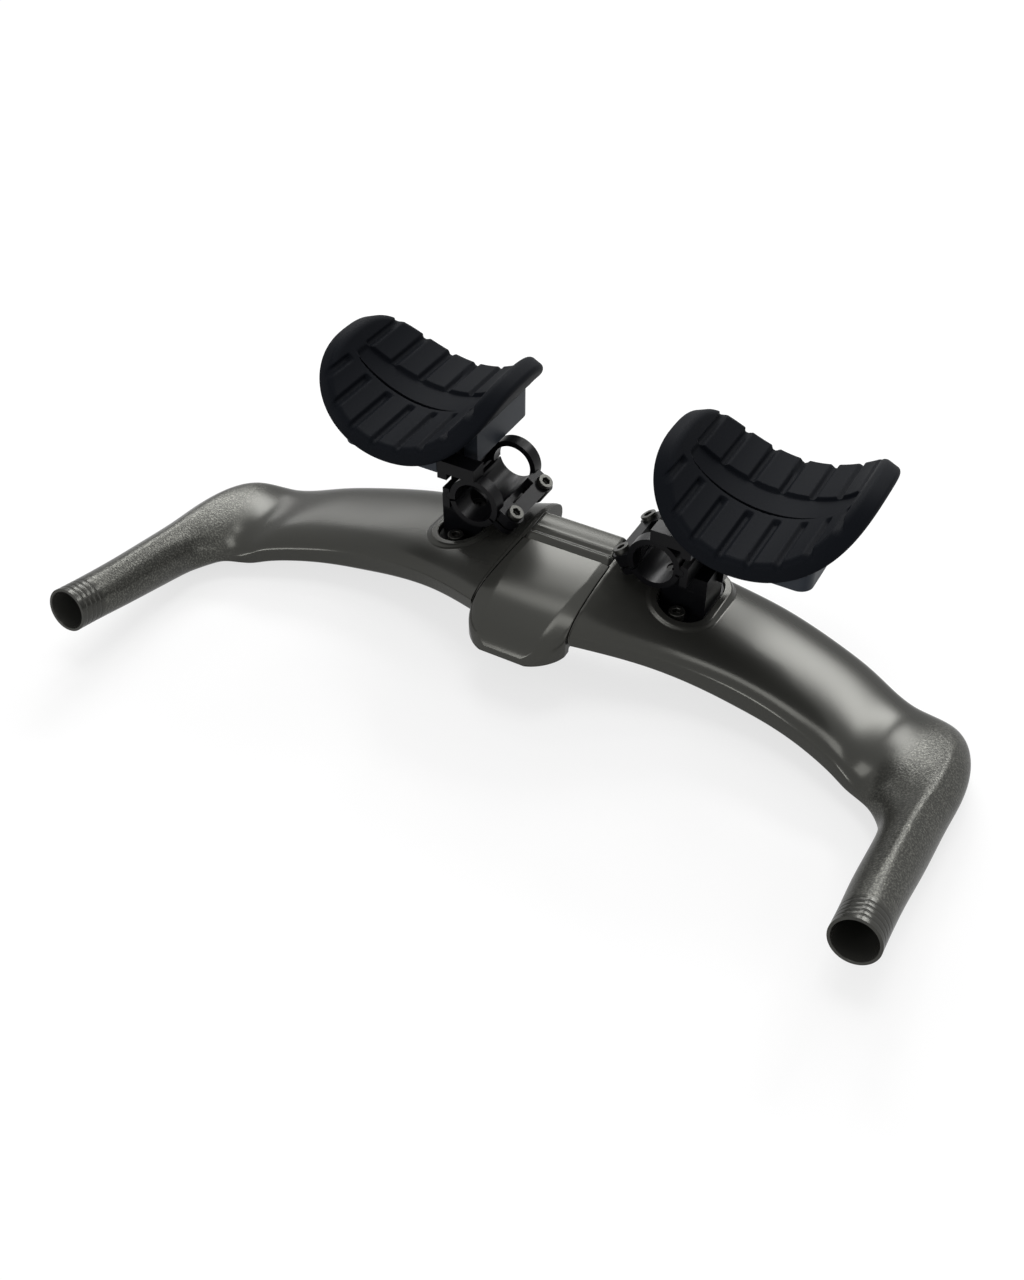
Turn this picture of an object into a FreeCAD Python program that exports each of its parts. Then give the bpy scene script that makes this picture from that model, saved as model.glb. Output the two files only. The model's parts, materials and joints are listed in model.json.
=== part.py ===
import FreeCAD, Part
import math
import os
import re
from FreeCAD import Placement, Rotation, Vector

# Time trial handlebar: a one-piece aero base bar with a nose cover, and on each side a riser foot,
# an extension clamp, an armrest bracket, a hard cup and a foam arm pad.
# Frame: origin on the stem seat, X to one side, Y to the rear, Z up, millimetres and degrees.

SIZES = {
    # grips, the two straight ends that the hands hold
    "grip_spacing": 420.0,
    "grip_reach": 170.0,
    "grip_height": -4.0,
    "grip_rise": 12.0,
    "grip_flare": 0.8,
    "grip_diameter": 23.8,
    "grip_root_diameter": 28.5,
    "grip_middle_diameter": 24.6,
    "grip_bore": 20.6,
    "grip_bore_depth": 80.0,
    # wing stations from the root outwards: place, leading edge, trailing edge, mid height, thickness
    "root_x": 27.0,
    "root_lead": -72.3,
    "root_trail": 22.5,
    "root_height": 2.5,
    "root_thick": 23.0,
    "boss_x": 65.0,
    "boss_lead": -55.8,
    "boss_trail": 23.5,
    "boss_height": -8.0,
    "boss_thick": 19.5,
    "middle_x": 105.0,
    "middle_lead": -50.8,
    "middle_trail": 24.0,
    "middle_height": -15.5,
    "middle_thick": 20.0,
    "outer_x": 145.0,
    "outer_lead": -57.4,
    "outer_trail": 15.0,
    "outer_height": -21.5,
    "outer_thick": 20.0,
    "shoulder_x": 166.0,
    "shoulder_lead": -65.9,
    "shoulder_trail": 6.5,
    "shoulder_height": -24.5,
    "shoulder_thick": 20.5,
    # elbow, where the wing turns forwards into the grip
    "elbow_inner_radius": 31.0,
    "elbow_back": -3.0,
    "elbow_corner": -9.5,
    "elbow_rounding": 1.1,
    "elbow_thick": 26.0,
    "elbow_height": -27.0,
    # centre bridge with the stem seat, and the cover's recess
    "bridge_depth": 14.0,
    "bridge_bottom": -14.0,
    "notch_width": 50.0,
    "lip_front": -22.0,
    "lip_top": 17.5,
    "lip_edge": 1.0,
    "tray_floor": -5.0,
    "tray_wall": 1.8,
    "chamber_top": 7.5,
    "stem_hole_spacing_x": 32.0,
    "stem_hole_spacing_z": 16.0,
    "stem_hole": 5.5,
    # nose cover
    "cover_rear_width": 51.0,
    "cover_front_width": 55.0,
    "cover_front": -90.0,
    "cover_corner_radius": 17.0,
    "cover_top": 14.6,
    "cover_bottom": -7.0,
    "cover_wall": 2.0,
    "cover_crown": 3.0,
    "cover_lip": 0.6,
    "cover_lip_depth": 3.0,
    "parting_gap": 0.3,
    "cover_screw_spread": 32.0,
    "cover_screw_y": -48.0,
    "cover_screw_diameter": 3.0,
    "cover_screw_head": 5.8,
    "cover_screw_head_height": 1.8,
    "cover_screw_length": 11.0,
    # oval boss and recess that takes the riser foot
    "recess_y": -7.0,
    "recess_length": 48.0,
    "recess_width": 26.0,
    "recess_floor": -7.0,
    "boss_rim": 4.0,
    "boss_top": 1.6,
    # riser foot
    "foot_gap": 0.4,
    "foot_plate": 5.0,
    "foot_top": 12.0,
    "column_length": 22.0,
    "column_width": 24.0,
    "foot_screw_pitch": 36.0,
    # extension clamp
    "clamp_x": 51.5,
    "clamp_y": -4.5,
    "clamp_z": 30.0,
    "clamp_length": 48.0,
    "extension_diameter": 22.2,
    "strap_thick": 3.2,
    "strap_width": 7.0,
    "split_angle": 33.0,
    "split_gap": 1.2,
    "ear_reach": 19.5,
    "ear_radius": 5.4,
    "ear_thick": 6.5,
    "ear_lower_thick": 3.5,
    "ear_sink": 2.5,
    "ear_bar_width": 8.0,
    "hook_radius": 2.0,
    "hook_reach": 14.4,
    "hook_gap": 0.2,
    "shoulder_width": 14.0,
    "shoulder_top": 34.0,
    "ear_pitch": 32.0,
    "shoulder_length": 23.0,
    "shoulder_shift": 12.0,
    "lug_thick": 4.0,
    "lug_below": 8.0,
    "saddle_inset": 9.0,
    "saddle_rear": 17.0,
    "base_screw_pitch": 12.0,
    "base_screw_offset": 6.0,
    "base_screw_length": 12.0,
    "base_screw_diameter": 5.0,
    "base_screw_head": 8.6,
    "base_screw_head_height": 2.6,
    "base_screw_socket": 3.0,
    "base_screw_sink": 0.4,
    # fasteners
    "screw_diameter": 5.0,
    "screw_head": 8.5,
    "screw_head_height": 5.0,
    "screw_socket": 4.0,
    "screw_socket_depth": 2.6,
    "foot_screw_length": 9.5,
    "clamp_screw_length": 8.3,
    "bracket_screw_length": 14.0,
    "thread_gap": 0.1,
    "insert_diameter": 9.0,
    "insert_length": 5.5,
    # armrest bracket and cup
    "bracket_plate": 6.0,
    "bracket_outer_x": 122.0,
    "bracket_y": 2.0,
    "bracket_length": 36.0,
    "riser_length": 22.0,
    "counterbore_depth": 5.3,
    "counterbore_gap": 0.3,
    "bracket_screw_pitch": 12.0,
    "upstand_width": 22.0,
    "upstand_length": 10.0,
    "upstand_height": 8.0,
    "upstand_gap": 0.5,
    "neck_width": 5.6,
    "neck_length": 18.0,
    "neck_drop": 3.0,
    "notch_gap": 0.3,
    "cup_y": 6.8,
    "cup_bottom": 44.0,
    "cup_inner_x": 58.0,
    "cup_outer_x": 131.0,
    "cup_length": 75.0,
    "cup_corner_radius": 7.0,
    "cup_wall": 3.0,
    "cup_screw_pitch": 20.0,
    "cup_screw_diameter": 4.0,
    "cup_screw_head": 7.6,
    "cup_screw_head_height": 2.2,
    "cup_screw_length": 9.0,
    "cup_screw_socket": 2.5,
    # arm pad
    "pad_x": 96.2,
    "pad_y": 6.0,
    "pad_length": 97.0,
    "pad_thick": 11.0,
    "pad_dish_radius": 47.0,
    "pad_sweep": 145.0,
    "pad_groove": 3.0,
    "pad_groove_depth": 2.5,
    "pad_groove_pitch": 17.0,
    "pad_valley": 13.0,
    "pad_valley_depth": 1.8,
    "pad_valley_sweep": 104.0,
    "fastener_thick": 1.2,
    "fastener_sweep": 56.0,
    "fastener_length": 54.0,
    "seat_gap": 0.15,
    # how far a cutting tool runs past the face that it opens
    "overcut": 1.0,
}

PAD_GROOVES = 6
PAD_STATIONS = (-80, -60, -40, -20, 0, 20, 40, 60, 80)
PAD_POWER = 2.5
PAD_FULLNESS = 0.40
PAD_SQUARENESS = 0.45
SECTION_POINTS = 20

doc = FreeCAD.newDocument("time_trial_handlebar")
sheet = doc.addObject("Spreadsheet::Sheet", "sizes")
for row, (alias, number) in enumerate(SIZES.items(), start=1):
    sheet.set(f"A{row}", alias)
    sheet.set(f"B{row}", str(number))
    sheet.setAlias(f"B{row}", alias)
doc.recompute()


def size(alias):
    """One driving dimension, read back from the sheet."""
    return float(sheet.get(alias))


def reference(match):
    """A word of the sheet as a reference to its cell, any other word as it is."""
    word = match.group()
    return f"sizes.{word}" if word in SIZES else word


def formula(text):
    """Plain words of the sheet turned into references to its cells."""
    return re.sub(r"[a-z_]{3,}", reference, str(text))


def bind(item, **properties):
    """Tie an object's properties to formulas of the sheet's words."""
    for name, text in properties.items():
        item.setExpression(name, formula(text))
    return item


def place(item, x, y, z, rotation=Rotation()):
    """Turn an object and tie its position to formulas."""
    item.Placement = Placement(Vector(0, 0, 0), rotation)
    for axis, text in zip("xyz", (x, y, z)):
        item.setExpression(f"Placement.Base.{axis}", formula(text))
    return item


def box(name, x, y, z, length, width, height, rotation=Rotation()):
    """A block given by its low corner and its three sides."""
    item = bind(doc.addObject("Part::Box", name), Length=length, Width=width, Height=height)
    return place(item, x, y, z, rotation)


def rod(name, x, y, z, radius, height, rotation=Rotation(), angle=360):
    """A cylinder, or a sector of one, from its foot along its own axis."""
    item = bind(doc.addObject("Part::Cylinder", name), Radius=radius, Height=height, Angle=angle)
    return place(item, x, y, z, rotation)


def cone(name, x, y, z, low_radius, top_radius, height, rotation=Rotation()):
    """A frustum from its foot along its own axis."""
    item = doc.addObject("Part::Cone", name)
    bind(item, Radius1=low_radius, Radius2=top_radius, Height=height)
    return place(item, x, y, z, rotation)


def fuse(name, *shapes):
    """Several solids joined into one."""
    item = doc.addObject("Part::MultiFuse", name)
    item.Shapes = list(shapes)
    item.Refine = True
    return item


def cut(name, base, *tools):
    """A solid with one or more tools taken out of it."""
    item = doc.addObject("Part::Cut", name)
    item.Base = base
    item.Tool = tools[0] if len(tools) == 1 else fuse(f"{name}_tools", *tools)
    item.Refine = True
    return item


def group(name, *shapes):
    """Separate solids kept in one node."""
    item = doc.addObject("Part::Compound", name)
    item.Links = list(shapes)
    return item


def feature(name, shape):
    """A shape worked out by the functions below, as an object of the document."""
    item = doc.addObject("Part::Feature", name)
    item.Shape = shape
    item.Placement = Placement()
    return item


def stadium(x, y, z, length, width, height):
    """A slot-shaped block along Y: two half rounds joined by straight sides."""
    radius = width / 2
    run = length / 2 - radius
    corners = [Vector(x - radius, y - run, z), Vector(x - radius, y + run, z)]
    corners += [Vector(x + radius, y + run, z), Vector(x + radius, y - run, z)]
    edges = [
        Part.makeLine(corners[0], corners[1]),
        Part.Arc(corners[1], Vector(x, y + run + radius, z), corners[2]).toShape(),
        Part.makeLine(corners[2], corners[3]),
        Part.Arc(corners[3], Vector(x, y - run - radius, z), corners[0]).toShape(),
    ]
    return Part.Face(Part.Wire(edges)).extrude(Vector(0, 0, height))


# Base bar

ALONG_Y = Rotation(Vector(1, 0, 0), -90)
# the wing's stations from the root outwards, and how much each section thins towards its rear
WING_TAPERS = {"root": -0.15, "boss": 0.10, "middle": 0.30, "outer": 0.30, "shoulder": 0.30}
# fullness and squareness of the wing's sections
WING_FORM = (0.60, 0.85)
ELBOW_STATIONS = (
    # turn from the wing, taper, fullness, squareness, share of the elbow's swelling
    (13, 0.20, 0.70, 0.9, 0.15),
    (27, -0.05, 0.85, 1.0, 0.8),
    (46, 0.0, 0.95, 1.0, 1.0),
    (68, 0.0, 1.0, 1.0, 1.0),
    (90, 0.0, 1.0, 1.0, 1.0),
)
CORNER_TURN = 27
# points on the lip's top: distance behind its front, drop below its highest line
LIP_STEPS = ((0.0, 2.6), (4.0, 1.2), (6.0, 1.6), (9.0, 0.0))
CROWN_STATIONS = (-0.1, 0.1, 0.3, 0.5, 0.65, 0.78, 0.88, 0.95, 0.985, 1.0)
CROWN_POWER = 0.6
CROWN_WIDTHS = (-1.0, -0.75, -0.4, 0.0, 0.4, 0.75, 1.0)
# share of the cover's length, behind the wing's front edge, where the sides stop following the wing
CROWN_MARGIN = 0.05


def section(lead, trail, thick, taper=0.0, fullness=1.0, squareness=1.0, up=Vector(0, 0, 1)):
    """Control points round one wing section.

    The chord runs from lead to trail. Along it a point follows the cosine raised to the fullness,
    which blunts both edges. Across it the point follows the sine raised to the squareness, and the
    taper thins it towards the trailing edge.
    """
    points = []
    for step in range(SECTION_POINTS):
        angle = 2 * math.pi * step / SECTION_POINTS
        along = math.copysign(abs(math.cos(angle)) ** fullness, math.cos(angle))
        across = math.copysign(abs(math.sin(angle)) ** squareness, math.sin(angle)) * (1 - taper * along)
        points.append(lead + (trail - lead) * (0.5 + 0.5 * along) + up * (0.5 * thick * across))
    return points


def skin(rows):
    """Solid through rows of section points: a closed spline round each, a smooth one from row to row."""
    centres = [sum(row, Vector()) / len(row) for row in rows]
    distances = [0.0]
    for before, after in zip(centres, centres[1:]):
        distances.append(distances[-1] + before.distanceToPoint(after))
    lines = []
    for step in range(SECTION_POINTS):
        line = Part.BSplineCurve()
        line.interpolate(Points=[row[step] for row in rows], Parameters=distances)
        lines.append(line)
    poles = [line.getPoles() for line in lines]
    around = list(range(SECTION_POINTS + 1))
    single = [1] * len(around)
    stations, repeats = lines[0].getKnots(), lines[0].getMultiplicities()
    surface = Part.BSplineSurface()
    surface.buildFromPolesMultsKnots(poles, single, repeats, around, stations, True, False, 3, 3)
    side = surface.toShape()
    caps = [Part.Face(Part.Wire(edge)) for edge in side.Edges if edge.isClosed()]
    shell = Part.makeShell([side] + caps)
    shell.sewShape()
    return Part.makeSolid(shell)


def wing_sections():
    """Sections of the right half: five across the wing, five round the elbow, three on the grip."""
    rows = []
    for station, taper in WING_TAPERS.items():
        x, height = size(f"{station}_x"), size(f"{station}_height")
        lead = Vector(x, size(f"{station}_lead"), height)
        trail = Vector(x, size(f"{station}_trail"), height)
        rows.append(section(lead, trail, size(f"{station}_thick"), taper, *WING_FORM))

    inner = size("elbow_inner_radius")
    pivot = Vector(size("shoulder_x"), size("shoulder_lead") - inner, 0)
    forward, up = grip_direction()
    root = grip_end() - forward * ((size("grip_reach") + pivot.y) / -forward.y)
    outside = root.x + size("grip_root_diameter") / 2 - pivot.x
    for turn, taper, fullness, squareness, swell in ELBOW_STATIONS:
        behind = size("elbow_back") if turn < CORNER_TURN else size("elbow_corner")
        reach = (behind - pivot.y) / math.cos(math.radians(turn))
        if turn > CORNER_TURN:
            rounding = size("elbow_rounding") * math.sin(math.radians(2 * turn))
            reach = (outside + rounding) / math.sin(math.radians(turn))
        ray = Vector(math.sin(math.radians(turn)), math.cos(math.radians(turn)), 0)
        share = max(0.0, (turn - CORNER_TURN) / (90 - CORNER_TURN))
        height = size("elbow_height") + share * (root.z - size("elbow_height"))
        full = size("shoulder_thick") + swell * (size("elbow_thick") - size("shoulder_thick"))
        thick = full + share * (size("grip_root_diameter") - full)
        lift = Vector(0, 0, height)
        near, far = inner_edge(turn / 90) + lift, pivot + ray * reach + lift
        rows.append(section(near, far, thick, taper, fullness, squareness))

    across = up.cross(forward)
    for share, diameter in grip_stations():
        centre = grip_end() + (root - grip_end()) * share
        side = across * (diameter / 2)
        rows.append(section(centre - side, centre + side, diameter, up=up))
    return rows


def inner_edge(share):
    """Point on the elbow's inner edge, a parabola from the wing's front edge round to the grip's side."""
    radius = size("elbow_inner_radius")
    start = Vector(size("shoulder_x"), size("shoulder_lead"), 0)
    slope = (start.y - size("outer_lead")) / (start.x - size("outer_x"))
    bend, end = start + Vector(radius, radius * slope, 0), start + Vector(radius, -radius, 0)
    rest = 1 - share
    return start * rest ** 2 + bend * (2 * share * rest) + end * share ** 2


def grip_stations():
    """Sections of the grip: their share of its length from the end, and their diameters."""
    end = size("grip_diameter")
    return ((0.45, size("grip_middle_diameter")), (0.2, end), (0.0, end))


def grip_end():
    return Vector(size("grip_spacing") / 2, -size("grip_reach"), size("grip_height"))


def grip_direction():
    """The right grip's axis, forwards, rising and a little outwards, and the direction above it."""
    rise, flare = math.radians(size("grip_rise")), math.radians(size("grip_flare"))
    plan = Vector(math.sin(flare), -math.cos(flare), 0)
    level, upright = plan * math.cos(rise), Vector(0, 0, 1)
    return level + upright * math.sin(rise), upright * math.cos(rise) - plan * math.sin(rise)


def cover_plan(inset, back):
    """Plan of the cover and of its recess: straight flared sides and a front with round corners."""
    rear, front = size("cover_rear_width") / 2 - inset, size("cover_front_width") / 2 - inset
    tip = size("cover_front") + inset
    corner = size("cover_corner_radius") - inset
    flare = tip + corner
    turn = corner * math.sqrt(0.5)
    edges = []
    for side in (1, -1):
        start, end = Vector(side * front, flare, 0), Vector(side * (front - corner), tip, 0)
        middle = Vector(side * (front - corner + turn), flare - turn, 0)
        edges.append(Part.Arc(start, middle, end).toShape())
        edges.append(Part.makeLine(Vector(side * rear, back, 0), start))
    edges.append(Part.makeLine(Vector(front - corner, tip, 0), Vector(corner - front, tip, 0)))
    edges.append(Part.makeLine(Vector(rear, back, 0), Vector(-rear, back, 0)))
    return Part.Face(Part.Wire(Part.__sortEdges__(edges)))


def root_top(y):
    """Height of the wing's upper side at its root, in one place along the chord."""
    root = wing_sections()[0]
    outline = Part.BSplineCurve()
    outline.buildFromPolesMultsKnots(
        root, [1] * (SECTION_POINTS + 1), list(range(SECTION_POINTS + 1)), True, 3
    )
    face = Part.Face(Part.Wire(outline.toShape()))
    low = Vector(size("root_x"), y, size("root_height"))
    return Part.makeLine(low, low + Vector(0, 0, size("root_thick"))).common(face).BoundBox.ZMax


def crown_block(inset):
    """Block below the cover's crown.

    From the rear edge to the nose the height falls as one minus the cube of the way along, raised to
    the crown's power. From the middle to the sides it falls by the fourth power of the way across,
    down to the wing's upper side, or by the crown's own drop ahead of the wing.
    """
    top, bottom = size("cover_top"), size("cover_bottom")
    back, length = size("lip_front"), size("lip_front") - size("cover_front") + size("cover_lip")
    half = size("cover_front_width") / 2
    rows = []
    for along in CROWN_STATIONS:
        fall = (1 - max(along, 0.0) ** 3) ** CROWN_POWER
        y, middle = back - length * along, bottom + (top - bottom) * fall
        beside_wing = y > size("root_lead") + length * CROWN_MARGIN
        drop = middle - root_top(y) if beside_wing else size("cover_crown")
        row = []
        for across in CROWN_WIDTHS:
            row.append(Vector(half * across, y, middle - drop * across ** 4 - inset))
        rows.append(row)
    surface = Part.BSplineSurface()
    surface.interpolate(rows)
    return surface.toShape().extrude(Vector(0, 0, -length))


def cover_form(inset, back):
    """Solid that has the cover's plan from above, its crown on top and a flat bottom."""
    plan = cover_plan(inset, back)
    bottom = size("cover_bottom") + inset
    plan.translate(Vector(0, 0, bottom))
    return plan.extrude(Vector(0, 0, size("cover_top") - bottom)).common(crown_block(inset)).Solids[0]


def lip_form():
    """The band that stands up behind the cover, across the bridge, with two soft steps along its top."""
    front, top, half = size("lip_front"), size("lip_top"), size("notch_width") / 2
    edge, low = size("lip_edge"), size("root_height")
    points = [(front + back, top - drop) for back, drop in LIP_STEPS]
    points += [(-edge, top), (0, top - edge), (0, low), (front, low)]
    corners = [Vector(-half, y, z) for y, z in points]
    return Part.Face(Part.makePolygon(corners + corners[:1])).extrude(Vector(2 * half, 0, 0))


def base_bar_form():
    """The moulded bar: two wing halves and a straight centre, with bosses, recesses, seat and bores."""
    half = skin(wing_sections())
    other = half.mirror(Vector(0, 0, 0), Vector(1, 0, 0))
    root = [face for face in half.Faces if face.BoundBox.XMax < size("root_x") + 0.1][0]
    centre = root.extrude(Vector(-2 * size("root_x"), 0, 0))
    bridge_width, depth = size("notch_width"), size("bridge_depth")
    bottom = size("bridge_bottom")
    flange = Part.makeBox(bridge_width, depth, -bottom, Vector(-bridge_width / 2, -depth, bottom))
    solids = [other, centre, flange, lip_form()]
    low, rim = size("boss_height"), 2 * size("boss_rim")
    oval = (size("recess_length") + rim, size("recess_width") + rim, size("boss_top") - low)
    for side in (1, -1):
        solids.append(stadium(side * size("boss_x"), size("recess_y"), low, *oval))
    bar = half.multiFuse(solids)
    return bar.cut(bar_openings()).removeSplitter()


def bar_openings():
    """Everything taken out of the bar: stem notch, cover recess, foot recesses, holes and grip bores."""
    width, over = size("notch_width"), size("overcut")
    tall = size("grip_reach")
    notch = Part.makeBox(width, tall, 2 * tall, Vector(-width / 2, 0, -tall))
    plan = cover_plan(0.0, size("lip_front"))
    plan.translate(Vector(0, 0, size("tray_floor")))
    recess = plan.extrude(Vector(0, 0, tall))
    room = size("cover_rear_width")
    corner = Vector(-room / 2, size("lip_front") - over, size("tray_floor"))
    deep = -size("lip_front") - size("bridge_depth") + over
    chamber = Part.makeBox(room, deep, size("chamber_top") - size("tray_floor"), corner)
    tools = [notch, recess, chamber]
    for x in (-0.5, 0.5):
        for z in (-0.5, 0.5):
            across, up = x * size("stem_hole_spacing_x"), z * size("stem_hole_spacing_z")
            at = Vector(across, -size("bridge_depth") - over, up)
            through = size("bridge_depth") + 2 * over
            tools.append(Part.makeCylinder(size("stem_hole") / 2, through, at, Vector(0, 1, 0)))
        at = Vector(x * size("cover_screw_spread"), size("cover_screw_y"), -tall)
        tools.append(Part.makeCylinder(size("cover_screw_diameter") / 2 + size("thread_gap"), tall, at))
        seat = size("tray_floor") - size("tray_wall") + tall
        tools.append(Part.makeCylinder(size("cover_screw_head") / 2 + size("counterbore_gap"), seat, at))
    forward, _ = grip_direction()
    for side in (1, -1):
        turn = Vector(side * forward.x, forward.y, forward.z)
        x, y, floor = side * size("boss_x"), size("recess_y"), size("recess_floor")
        tools.append(stadium(x, y, floor, size("recess_length"), size("recess_width"), tall))
        deep = size("insert_length")
        for end in (-0.5, 0.5):
            at = Vector(x, y + end * size("foot_screw_pitch"), floor - deep)
            tools.append(Part.makeCylinder(size("insert_diameter") / 2, deep + over, at))
        tip = Vector(side * grip_end().x, grip_end().y, grip_end().z) + turn * over
        bore = (size("grip_bore") / 2, size("grip_bore_depth") + over)
        tools.append(Part.makeCylinder(*bore, tip, turn * -1))
    return tools


def nose_cover_form():
    """Thin cover: the outer form less the inner one, open behind and below, with two screw bosses."""
    gap, wall, back = size("parting_gap"), size("cover_wall"), size("lip_front")
    outer = cover_form(gap, back - gap)
    inner = cover_form(gap + wall, back + gap)
    width, floor = size("cover_front_width"), size("tray_floor") + gap
    lip_back = size("root_lead") + size("cover_lip_depth")
    below = Part.makeBox(width, back - lip_back, width, Vector(-width / 2, lip_back, floor - width))
    shell = outer.cut([inner, below])
    bosses = []
    for x in (-0.5, 0.5):
        at = Vector(x * size("cover_screw_spread"), size("cover_screw_y"), floor)
        thread = size("cover_screw_diameter") / 2 + size("thread_gap")
        boss = Part.makeCylinder(thread + wall, size("cover_top") - floor, at).common(outer)
        bosses.append(boss.cut(Part.makeCylinder(thread, size("cover_screw_length"), at)))
    return shell.multiFuse(bosses).removeSplitter()


# Fasteners

SOCKET_SHARE = 0.7


def hexagon(name, across_flats, height, z):
    """Hexagonal socket, as a tool."""
    socket = doc.addObject("Part::Prism", name)
    socket.Polygon = 6
    bind(socket, Circumradius=f"{across_flats} / 2 / cos(30)", Height=height)
    return place(socket, 0, 0, z)


def socket_screw(name, x, y, z, length):
    """Socket head screw: its shank hangs below the seat, its head stands above it."""
    shank_height = f"{length} + screw_head_height / 2"
    shank = rod(f"{name}_shank", 0, 0, f"-{length}", "screw_diameter / 2", shank_height)
    head = rod(f"{name}_head", 0, 0, 0, "screw_head / 2", "screw_head_height")
    low = "screw_head_height - screw_socket_depth"
    socket = hexagon(f"{name}_socket", "screw_socket", "screw_socket_depth + overcut", low)
    return place(cut(name, fuse(f"{name}_blank", shank, head), socket), x, y, z)


def sunk_screw(name, x, y, z, kind):
    """Countersunk screw of one kind: its flat top lies at the given height and the shank hangs below."""
    height, length, radius = f"{kind}_head_height", f"{kind}_length", f"{kind}_diameter / 2"
    shank = rod(f"{name}_shank", 0, 0, f"-{length}", radius, f"{length} - {height} / 2")
    taper = cone(f"{name}_head", 0, 0, f"-{height}", radius, f"{kind}_head / 2", height)
    low = f"-{height} * {SOCKET_SHARE}"
    socket = hexagon(f"{name}_socket", f"{kind}_socket", f"{height} + overcut", low)
    return place(cut(name, fuse(f"{name}_blank", shank, taper), socket), x, y, z)


nodes = []


def node(item, label):
    """Name a finished sub-part."""
    item.Label = label
    nodes.append(item)
    return item


def both_sides(item, name):
    """The right-hand piece, and its mirror image on the left."""
    node(item, f"right_{name}")
    other = doc.addObject("Part::Mirroring", f"left_{name}_mirror")
    other.Source = item
    other.Normal = Vector(1, 0, 0)
    node(other, f"left_{name}")


node(feature("base_bar_body", base_bar_form()), "base_bar")
node(feature("nose_cover_body", nose_cover_form()), "nose_cover")


def cover_screws():
    """Two small screws that hold the cover from below the tray."""
    seat = "tray_floor - tray_wall - thread_gap"
    screws = []
    for side, sign in (("right", 1), ("left", -1)):
        name = f"{side}_cover_screw"
        shank = rod(f"{name}_shank", 0, 0, 0, "cover_screw_diameter / 2", "cover_screw_length")
        height = "cover_screw_head_height"
        head = rod(f"{name}_head", 0, 0, f"-{height}", "cover_screw_head / 2", height)
        screw = fuse(name, shank, head)
        screws.append(place(screw, f"{sign} * cover_screw_spread / 2", "cover_screw_y", seat))
    return group("cover_screw_pair", *screws)


node(cover_screws(), "nose_cover_screws")


# Riser foot in the bar's recess, its screws and their inserts

FRONT_AND_REAR = (("front", -1), ("rear", 1))
ROUND_HOLE = "screw_diameter / 2 + thread_gap"
BORE = "extension_diameter / 2"
BASE_HOLE = "base_screw_diameter / 2 + thread_gap"
BASE_SCREW_X = "clamp_x + base_screw_offset"
BASE_SCREW_TOP = f"clamp_z - {BORE} - base_screw_sink"


def foot():
    """Slot-shaped plate on the recess floor, and the column that carries the clamp."""
    gap = size("foot_gap")
    length, width = size("recess_length") - 2 * gap, size("recess_width") - 2 * gap
    at = (size("boss_x"), size("recess_y"), size("recess_floor"))
    plate = feature("foot_plate_slot", stadium(*at, length, width, size("foot_plate")))
    column_x, column_y = "boss_x - column_width / 2", "recess_y - column_length / 2"
    height = "foot_top - recess_floor"
    column = box("foot_column", column_x, column_y, "recess_floor", "column_width", "column_length", height)
    holes = []
    for end, sign in FRONT_AND_REAR:
        at_y = f"recess_y + {sign} * foot_screw_pitch / 2"
        span = ("recess_floor - overcut", ROUND_HOLE, "foot_plate + 2 * overcut")
        holes.append(rod(f"foot_{end}_hole", "boss_x", at_y, *span))
        at_y = f"recess_y + {sign} * base_screw_pitch / 2"
        tip = f"{BASE_SCREW_TOP} - base_screw_length - overcut"
        span = (tip, BASE_HOLE, f"foot_top + overcut - ({tip})")
        holes.append(rod(f"foot_{end}_thread", BASE_SCREW_X, at_y, *span))
    return cut("foot_body", fuse("foot_blank", plate, column), *holes)


def foot_screws():
    seat = "recess_floor + foot_plate"
    screws = []
    for end, sign in FRONT_AND_REAR:
        at_y = f"recess_y + {sign} * foot_screw_pitch / 2"
        screws.append(socket_screw(f"foot_{end}_screw", "boss_x", at_y, seat, "foot_screw_length"))
    return group("foot_screw_pair", *screws)


def bar_inserts():
    """Threaded sleeves bonded into the bar below the recess floor."""
    sleeves = []
    for end, sign in FRONT_AND_REAR:
        name = f"insert_{end}"
        at = ("boss_x", f"recess_y + {sign} * foot_screw_pitch / 2", "recess_floor - insert_length")
        sleeve = rod(f"{name}_sleeve", *at, "insert_diameter / 2 - thread_gap", "insert_length")
        thread = rod(f"{name}_thread", *at, ROUND_HOLE, "insert_length")
        sleeves.append(cut(name, sleeve, thread))
    return group("insert_pair", *sleeves)


both_sides(foot(), "clamp_foot")
both_sides(foot_screws(), "foot_screws")
both_sides(bar_inserts(), "bar_inserts")


# Extension clamp: lower saddle, and a cap of two straps that hooks in outboard and is screwed down inboard

EAR_TURN = Rotation(Vector(0, 1, 0), -size("split_angle"))
HOOK_DROP = 10.0
STRAP_OUTSIDE = "extension_diameter / 2 + strap_thick"
SHOULDER_X = f"clamp_x + {STRAP_OUTSIDE} + hook_gap"
SHOULDER_Y = "clamp_y + shoulder_shift"
BRACKET_SCREW_X = f"{SHOULDER_X} + shoulder_width / 2"
CLAMP_FRONT = "clamp_y - clamp_length / 2"
SCREW_SEAT = "split_gap / 2 + ear_thick - ear_sink"
STRAP_STARTS = (("front", CLAMP_FRONT), ("rear", "clamp_y + clamp_length / 2 - strap_width"))


def sector_turn(start):
    """Rotation that lays a cylinder along Y and starts its sector below the outboard side."""
    return ALONG_Y.multiply(Rotation(Vector(0, 0, 1), start))


def split_half_angle():
    """Half of the split's gap, as an angle at the bore."""
    return math.degrees(size("split_gap") / size("extension_diameter"))


def clamp_bore(name):
    """Full-length tool for the extension's bore."""
    span = (f"{CLAMP_FRONT} - overcut", "clamp_z", BORE, "clamp_length + 2 * overcut", ALONG_Y)
    return rod(name, "clamp_x", *span)


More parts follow.
